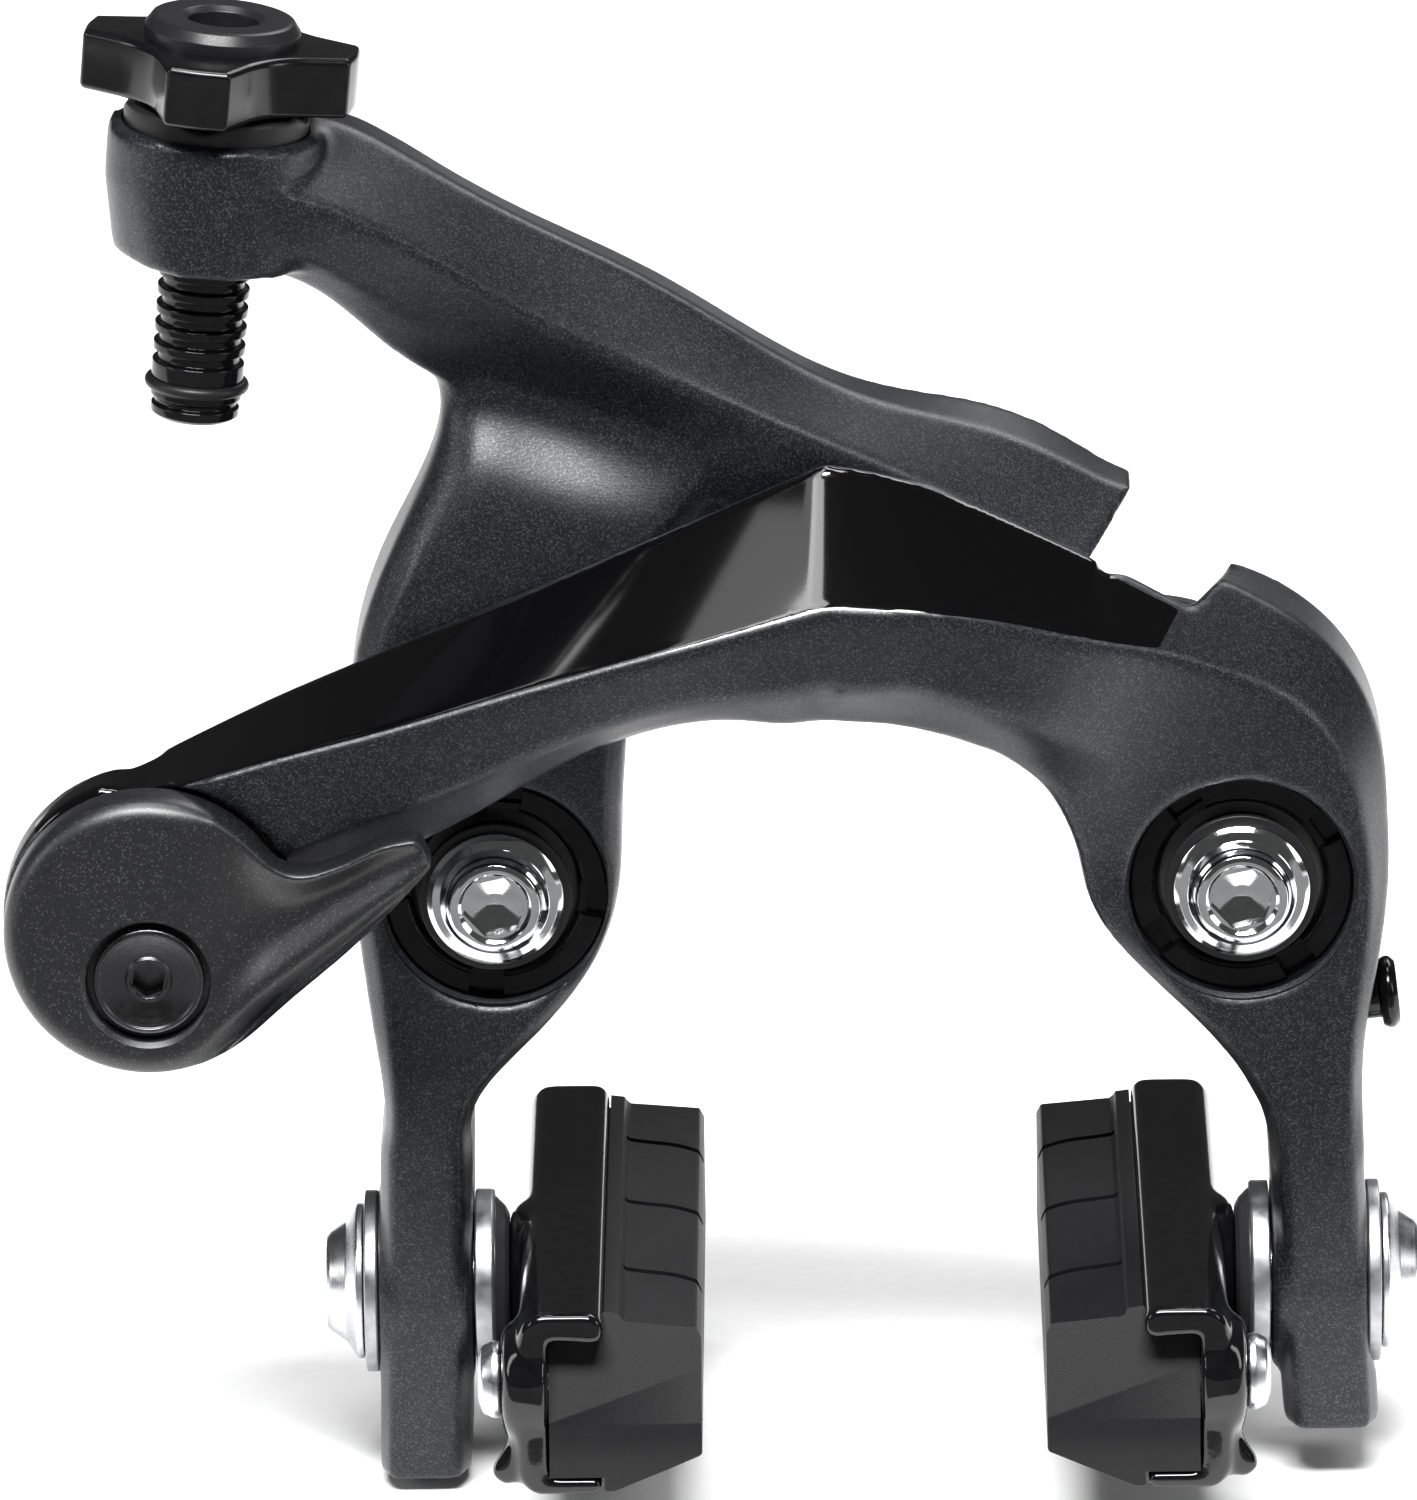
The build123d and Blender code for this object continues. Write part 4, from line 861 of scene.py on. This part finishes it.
lever_at, anchor_at = front(LEVER_X, 0, LEVER_Z), front(LEVER_X, 0, ANCHOR_Z)
lever = lathe("lever", [
    (0, 23.9), (7.4, 23.9), (7.4, 24.3), (10.0, 24.3), (10.8, 24.6, 0.3), (10.8, 29.0, 1.7), (0, 29.0)],
    lever_at, 160, closed=False)
tail_line = curve(TAIL_TOP) + curve(TAIL_LOW) + [(0, -6), (0, 6)]
join(lever, prism("tail", [tail_line], lever_at, 24.9, 28.6, 0.5))
remesh(lever, 0.2)
relax(lever, 8)
shift(lever, dish)
relax(lever, 16)
relax(lever, 30, tail_hollow)
join(lever, lathe("hub", [(0, 13.8), (7.4, 13.8, 0.3), (7.4, 24.0), (0, 24.0)], lever_at, 128, closed=False))
recess = [
    (0, 10), (2.55, 10), (2.55, 27.4), (4.65, 27.4, 0.1), (4.65, 28.6, 0.25), (5.05, 29.0), (5.05, 32),
    (0, 32),
]
cut(lever, [lathe("recess", recess, anchor_at, 128, closed=False)])
finish_piece(lever, ANODISED, "release_lever", "quick_release_lever", smooth=40)

bolt = lathe("anchor_bolt", [
    (0, 7.6), (2.2, 7.6, 0.05), (2.5, 7.9), (2.5, 27.45), (4.1, 27.45), (4.1, 28.55, 0.18),
    (3.72, 28.66, 0.1), (3.6, 28.5, 0.05), (1.78, 27.95, 0.05), (1.62, 28.15, 0.05), (1.42, 28.15, 0.05),
    (1.35, 28.0), (0, 28.0)],
    anchor_at, 128, closed=False)
cut(bolt, [hex_hole(anchor_at, 2.3, 26.3, 30, 20)])
finish_piece(bolt, DARK_STEEL, "cable_anchor", "cable_bolt", smooth=30)

# ---- barrel adjuster: four lobes on the knob, four dips in the collar under them ----
LOBE_TURN = math.radians(82)
ROD_R, ROD_END = 3.45, -17.3
GROOVE_R, GROOVE_PITCH = 3.02, 1.45
O_RING_R, O_RING_HEIGHT = 0.46, -14.75

knob_line = []
for k in range(4):
    t = LOBE_TURN + math.radians(90 * k)
    for a, b, r in ((10.05, -2.35, 0.5), (10.3, 0.0, 9.0), (10.05, 2.35, 0.5)):
        knob_line.append((a * math.cos(t) - b * math.sin(t), a * math.sin(t) + b * math.cos(t), r))
    m = t + math.radians(45)
    knob_line.append((6.3 * math.cos(m), 6.3 * math.sin(m), 7.0))
# The knob is drawn solid, so it closes the socket 1.6 mm below the cap's top.
knob = prism("knob", [rounded(knob_line, steps=10)], adjuster(0), 7.3, 11.9, 0.55, 4)
finish_piece(knob, KNOB_GLOSS, "adjuster_turning", "adjuster_knob", smooth=50)

cap = lathe("cap", [
    (1.25, 7.55, 0.1), (3.35, 7.55, 0.1), (3.35, 11.65), (5.7, 11.65, 0.1), (5.8, 11.8, 0.1),
    (5.8, 12.7, 0.12), (5.3, 13.4, 0.12), (5.0, 13.5, 0.1), (3.1, 13.5, 0.15), (2.62, 13.1, 0.15),
    (2.6, 8.1), (1.25, 8.1)],
    adjuster(0), 128)
finish_piece(cap, CAP_SATIN, "adjuster_seat", "adjuster_cap", smooth=35)

collar = lathe("collar", [
    (3.6, 4.0), (6.9, 4.0), (6.9, 5.0), (6.9, 6.0), (6.9, 7.15, 0.45), (6.0, 7.2), (3.6, 7.2, 0.1)],
    adjuster(0), 160)


def wave(pts, normals):
    """Four dips round the collar's upper edge, under the knob's lobes."""
    local = pts - np.array([ADJ_X, ADJ_Y, ADJ_Z])
    up = np.array([math.sin(ADJ_TILT), 0, math.cos(ADJ_TILT)])
    h = local @ up
    x = local @ np.array([up[2], 0, -up[0]])
    angle = np.arctan2(local[:, 1], x)
    dip = np.clip(np.cos(4 * (angle - LOBE_TURN)), 0, 1) ** 1.5
    share = np.clip((h - 5.0) / 2.0, 0, 1)
    return -up[None, :] * (share * (0.15 + 0.75 * dip))[:, None]


shift(collar, wave)
finish_piece(collar, SATIN, "left_side", "adjuster_collar", smooth=45)

grooves = [(ROD_R, ROD_END + 4.0)]
for k in range(6):
    z = ROD_END + 4.3 + GROOVE_PITCH * k
    grooves += [(ROD_R, z, 0.12), (GROOVE_R, z + 0.12, 0.1)]
    grooves += [(GROOVE_R, z + 0.68, 0.1), (ROD_R, z + 0.8, 0.12)]
barrel = lathe("barrel", [
    (1.2, ROD_END, 0.15), (2.9, ROD_END, 0.1), (3.3, -17.0, 0.15), (3.3, -16.4, 0.1), (3.05, -16.2, 0.1),
    (3.05, -15.95, 0.1), (3.4, -15.7, 0.1), (3.4, -15.2, 0.05), (2.95, -15.15), (2.95, -14.35),
    (ROD_R, -14.3, 0.1)]
    + grooves + [(ROD_R, 7.3), (1.2, 7.3, 0.1)], adjuster(0), 128)
finish_piece(barrel, BLACK_ANODISED, "adjuster_turning", "adjuster_barrel", smooth=30)

round_section = [
    (ROD_R + O_RING_R * math.cos(t), O_RING_HEIGHT + O_RING_R * math.sin(t))
    for t in np.linspace(0, 2 * math.pi, 24, endpoint=False)
]
o_ring = lathe("o_ring", round_section, adjuster(0), 128)
finish_piece(o_ring, SOFT_RUBBER, "adjuster_turning", "adjuster_o_ring", smooth=60)


# ---- brake shoes ----
SHOE_BACK, SHOE_FRONT = -17, 37
PAD_GROOVES_Y = (-22.0, -6.5, 8.0)
GROOVE_HALF = 0.42


def mirrored(side, points):
    """Outline in x-z for the right shoe, turned over for the left one."""
    return rounded([(side * p[0], *p[1:]) for p in points], steps=5)


def holder_piece(side, name, bolt_at, screw_at):
    """Channel for the pad, with bosses for the bolt and the screw, a rear wall and a fin."""
    section = mirrored(side, [
        (20.3, -40.0, 0.5), (26.6, -40.0, 1.6), (26.5, -25.8, 2.0), (20.1, -25.8, 1.2), (20.1, -28.2, 0.7),
        (24.3, -27.9), (24.3, -38.7), (20.3, -38.7, 0.4)])
    wall = mirrored(side, [(20.3, -39.5, 0.8), (25.5, -39.5, 0.8), (25.5, -26.5, 0.8), (20.3, -26.5, 0.8)])
    fin = mirrored(side, [
        (25.8, -35.4), (27.4, -36.6, 0.8), (28.9, -38.9, 0.6), (27.6, -39.9, 0.6), (25.8, -39.2)])
    holder = prism("holder_" + name, [section], front(0, 0, 0), SHOE_BACK, SHOE_FRONT, 0.25)
    join(
        holder,
        lathe("boss", [(0, 24.4), (6.2, 24.4), (6.0, 26.6), (5.2, 27.5), (0, 27.5)], bolt_at, closed=False),
        lathe("boss", [(0, 24.4), (4.6, 24.4), (4.3, 27.0), (4.0, 27.8), (0, 27.8)], screw_at, closed=False),
        plug(front(side * 22.5, 0, -33), 1.0, SHOE_BACK, SHOE_BACK + 3, 24),
        prism("wall", [wall], front(0, 0, 0), SHOE_BACK, SHOE_BACK + 3, 0.3),
        prism("fin", [fin], front(0, 0, 0), 33.6, 35.8, 0.3),
    )
    remesh(holder, 0.27)
    relax(holder, 7)
    relax(holder, 20, lambda pts: np.clip((np.abs(pts[:, 0]) - 25.4) / 0.8, 0, 1))
    return cut(holder, [plug(bolt_at, 3.0, 20, 40, 48), plug(screw_at, 1.25, 15, 40, 32)])


def pad_groove(side, y):
    """Cutter for a slanting groove across the pad's upper face."""
    path = curve([(18.75, y + 0.2), (17.2, y - 0.1), (15.2, y - 0.35), (13.6, y - 1.2), (12.2, y - 2.6)], 5)
    line = [(side * a, b - GROOVE_HALF) for a, b in path]
    line += [(side * a, b + GROOVE_HALF) for a, b in path[::-1]]
    return prism("groove", [line], Matrix.Identity(4), -28.75, -20, 0.15, 1)


def pad_piece(side, name):
    """Rubber pad: dovetailed to the holder, grooved above, cut back at the rear and bevelled at the nose."""
    section = mirrored(side, [
        (12.85, -28.6, 0.4), (13.2, -27.9, 0.3), (18.5, -27.45, 0.1), (18.8, -27.2, 0.15), (19.0, -26.9, 0.1),
        (20.15, -26.75, 0.1), (20.15, -27.85), (24.25, -27.85), (24.25, -38.65), (20.15, -38.65),
        (20.15, -39.75, 0.2), (19.4, -39.75, 0.5), (12.85, -36.9, 0.4)])
    rear_line = mirrored(side, [(20.05, -45), (30, -45), (30, -20), (20.05, -20)])
    nose_line = [(-38.5, -26.0), (-38.5, -45), (-36.2, -45), (-37.2, -34.9), (-35.2, -30.6), (-33.0, -26.0)]
    across = sorted((side * 11, side * 30))
    pad = prism("pad_" + name, [section], front(0, 0, 0), SHOE_BACK, SHOE_FRONT, 0.12)
    rear = prism("rear", [rear_line], front(0, 0, 0), SHOE_BACK - 1, SHOE_BACK + 3.1, 0.01, 0)
    nose = prism("nose", [nose_line], axes((0, 0, 0), ALONG_Y, ALONG_X), *across, 0.02, 0)
    return cut(pad, [rear, *(pad_groove(side, y) for y in PAD_GROOVES_Y), nose])


def pad_screw_piece(name, at):
    screw = lathe("pad_screw_" + name, [
        (0, 20.0), (1.25, 20.0), (1.25, 27.8), (2.85, 27.8, 0.3), (2.9, 28.4, 0.5), (2.5, 29.25, 0.5),
        (1.7, 29.55, 0.4), (1.25, 29.5, 0.05), (0, 29.5)], at, closed=False)
    return cut(screw, [hex_hole(at, 2.0, 28.3, 31, 8)])


def shoe_bolt_piece(name, at):
    bolt = lathe("shoe_bolt_" + name, [
        (0, 21.0), (3.0, 21.0, 0.2), (3.0, 38.6), (5.9, 38.6, 0.1), (5.9, 39.1, 0.25), (5.3, 39.45, 0.3),
        (4.6, 39.9, 0.5), (3.75, 41.15, 0.2), (3.5, 41.4, 0.15), (2.5, 41.4, 0.15), (2.35, 41.1), (0, 41.1)],
        at, 128, closed=False)
    return cut(bolt, [hex_hole(at, 4.0, 39.0, 43, 8)])


# Sections of the washers on the shoe bolt, from the arm's outside to the shoe.
WASHERS = [
    ("outer_washer", ZINC, 128, [
        (3.05, 37.45), (6.8, 37.45, 0.1), (6.9, 37.6, 0.08), (6.9, 38.45, 0.15), (3.05, 38.6)]),
    ("inner_washer", ZINC, 128, [
        (3.05, 28.6), (6.75, 28.6, 0.15), (6.9, 28.8, 0.1), (6.9, 30.05, 0.15), (3.05, 30.2)]),
    ("convex_washer", OXIDE, 96, [
        (3.05, 27.5), (5.0, 27.5, 0.15), (5.6, 27.8, 0.2), (6.3, 28.5, 0.15), (6.3, 28.6), (3.05, 28.6)]),
]


def shoe(side, name):
    """All the pieces of one brake shoe."""
    body = name + "_side"
    bolt_at = outward(side, 0, SHOE_Y, SHOE_Z)
    screw_at = outward(side, 0, -33.4, -32.0)
    finish_piece(holder_piece(side, name, bolt_at, screw_at), GLOSS, body, "shoe_holder_" + name, smooth=60)
    finish_piece(pad_piece(side, name), RUBBER, body, "brake_pad_" + name, smooth=35)
    finish_piece(pad_screw_piece(name, screw_at), SATIN_STEEL, body, "pad_screw_" + name, smooth=35)
    finish_piece(shoe_bolt_piece(name, bolt_at), BOLT_STEEL[name], body, "shoe_bolt_" + name, smooth=32)
    for kind, material, segments, section in WASHERS:
        washer = lathe(kind + "_" + name, section, bolt_at, segments)
        finish_piece(washer, material, body, kind + "_" + name, smooth=40)


shoe(-1, "left")
shoe(1, "right")

# ---- centring screw ----
tilt = math.radians(6)
centring = axes((37.6, -9.0, -10.6), (0, 1, 0), (math.cos(tilt), 0, math.sin(tilt)))
screw = lathe("centring", [
    (0, -4.4), (1.9, -4.4, 0.1), (1.9, 0.95, 0.1), (2.5, 1.0, 0.3), (2.75, 1.5, 0.5), (2.75, 1.9, 0.5),
    (2.3, 2.35, 0.3), (1.3, 2.4, 0.05), (1.2, 2.3), (0, 2.3)], centring, closed=False)
cut(screw, [hex_hole(centring, 2.0, 1.3, 4, 0)])
finish_piece(screw, BLACK_ANODISED, "right_side", "centring_screw", smooth=35)

# ---- pieces out of sight keep their CAD shape ----
KEPT = {
    "link_plate": OXIDE, "return_spring_left": SPRING_STEEL, "return_spring_right": SPRING_STEEL,
    "roller_pin": OXIDE, "clamp_washer": ZINC_ANCHOR, "clamp_plate": ZINC_ANCHOR, "anchor_nut": OXIDE,
}
for node, material in KEPT.items():
    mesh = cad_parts[node].data
    mesh.materials.clear()
    mesh.materials.append(material)

# ---- floor, light, camera ----
FLOOR_Z = -47.0
FLOOR_HALF = 3000
# The card lies on the floor in front of the caliper and is seen only in reflections.
CARD_Z = FLOOR_Z + 0.4
CARD_HALF, CARD_FAR_Y, CARD_NEAR_Y = 800, -1200, -62


def sheet(name, x0, y0, x1, y1, z):
    """Flat rectangle at height z."""
    return make(name, [(x0, y0, z), (x1, y0, z), (x1, y1, z), (x0, y1, z)], [(0, 1, 2, 3)])


def floor_material():
    """White paper with a faint grain."""
    s = Shader("floor_paper")
    grain = s.noise(0.9, 4.0)
    base = s.mix(s.span(grain, 0.3, 0.7), (0.86, 0.86, 0.865), (0.89, 0.89, 0.892))
    return s.done(Base_Color=base, Roughness=0.9, Normal=s.bump(grain, 0.03, 0.2))


def card_material():
    """Matt dark card, which keeps the front faces dark."""
    s = Shader("dark_card")
    base = s.mix(s.noise(0.05, 2.0), (0.10, 0.10, 0.10), (0.13, 0.13, 0.13))
    return s.done(Base_Color=base, Roughness=0.9, Specular_IOR_Level=0.1)


floor = sheet("floor", -FLOOR_HALF, -FLOOR_HALF, FLOOR_HALF, FLOOR_HALF, FLOOR_Z)
floor.data.materials.append(floor_material())


def softbox(name, azimuth, elevation, distance, size, power):
    """Area light aimed at the caliper, in metres and watts; azimuth 0 is in front, 90 to the right."""
    light = bpy.data.lights.new(name, "AREA")
    light.shape = "RECTANGLE"
    light.size, light.size_y = size
    light.energy = power
    obj = bpy.data.objects.new(name, light)
    bpy.context.scene.collection.objects.link(obj)
    a, e = math.radians(azimuth), math.radians(elevation)
    away = Vector((math.sin(a) * math.cos(e), -math.cos(a) * math.cos(e), math.sin(e)))
    obj.location = LIGHT_TARGET + away * distance
    obj.rotation_mode = "QUATERNION"
    obj.rotation_quaternion = (-away).to_track_quat("-Z", "Y")


LIGHT_TARGET = Vector((-0.01, -0.01, 0.0))
softbox("key_front", -6, 59, 1.5, (0.9, 0.40), 54)
softbox("overhead", -48, 71, 1.5, (0.24, 0.34), 2.4)
softbox("overhead_low", -67, 67, 1.6, (0.34, 0.34), 0.9)
softbox("left_side", -72, 22, 1.7, (0.5, 0.6), 5)
softbox("right_side", 70, 20, 1.7, (0.5, 0.6), 5)
softbox("rear", 150, 42, 1.8, (0.9, 0.6), 10)
softbox("floor_wash", 180, 86, 2.2, (0.9, 0.5), 20)

flag = sheet("flag", -CARD_HALF, CARD_FAR_Y, CARD_HALF, CARD_NEAR_Y, CARD_Z)
flag.data.materials.append(card_material())
flag.visible_camera = flag.visible_diffuse = flag.visible_shadow = flag.visible_transmission = False

world = bpy.data.worlds.new("studio")
bpy.context.scene.world = world
world.use_nodes = True
background = world.node_tree.nodes["Background"]
background.inputs["Color"].default_value = (1, 1, 1, 1)
background.inputs["Strength"].default_value = 0.07


def long_lens(place, focal, elevation, azimuth, roll):
    """Camera at place in mm, looking down by elevation and turned by azimuth and roll, in degrees."""
    elev, azim, roll = math.radians(elevation), math.radians(azimuth), math.radians(roll)
    ahead = Vector((-math.sin(azim) * math.cos(elev), math.cos(azim) * math.cos(elev), -math.sin(elev)))
    level = Vector((math.cos(azim), math.sin(azim), 0))
    up = level.cross(ahead)
    cam_x = level * math.cos(roll) - up * math.sin(roll)
    cam_y = up * math.cos(roll) + level * math.sin(roll)
    turn = Matrix((cam_x, cam_y, -ahead)).transposed()
    lens = bpy.data.cameras.new("camera")
    lens.sensor_width = 36
    lens.lens = focal
    lens.clip_end = 20
    cam = bpy.data.objects.new("camera", lens)
    bpy.context.scene.collection.objects.link(cam)
    cam.matrix_world = Matrix.Translation(Vector(place) * MM) @ turn.to_4x4()
    bpy.context.scene.camera = cam


long_lens((-1.862, -1159.387, 372.051), 384.768, 17.5, 0.5, 0.81)
bpy.context.scene.view_settings.view_transform = "Standard"
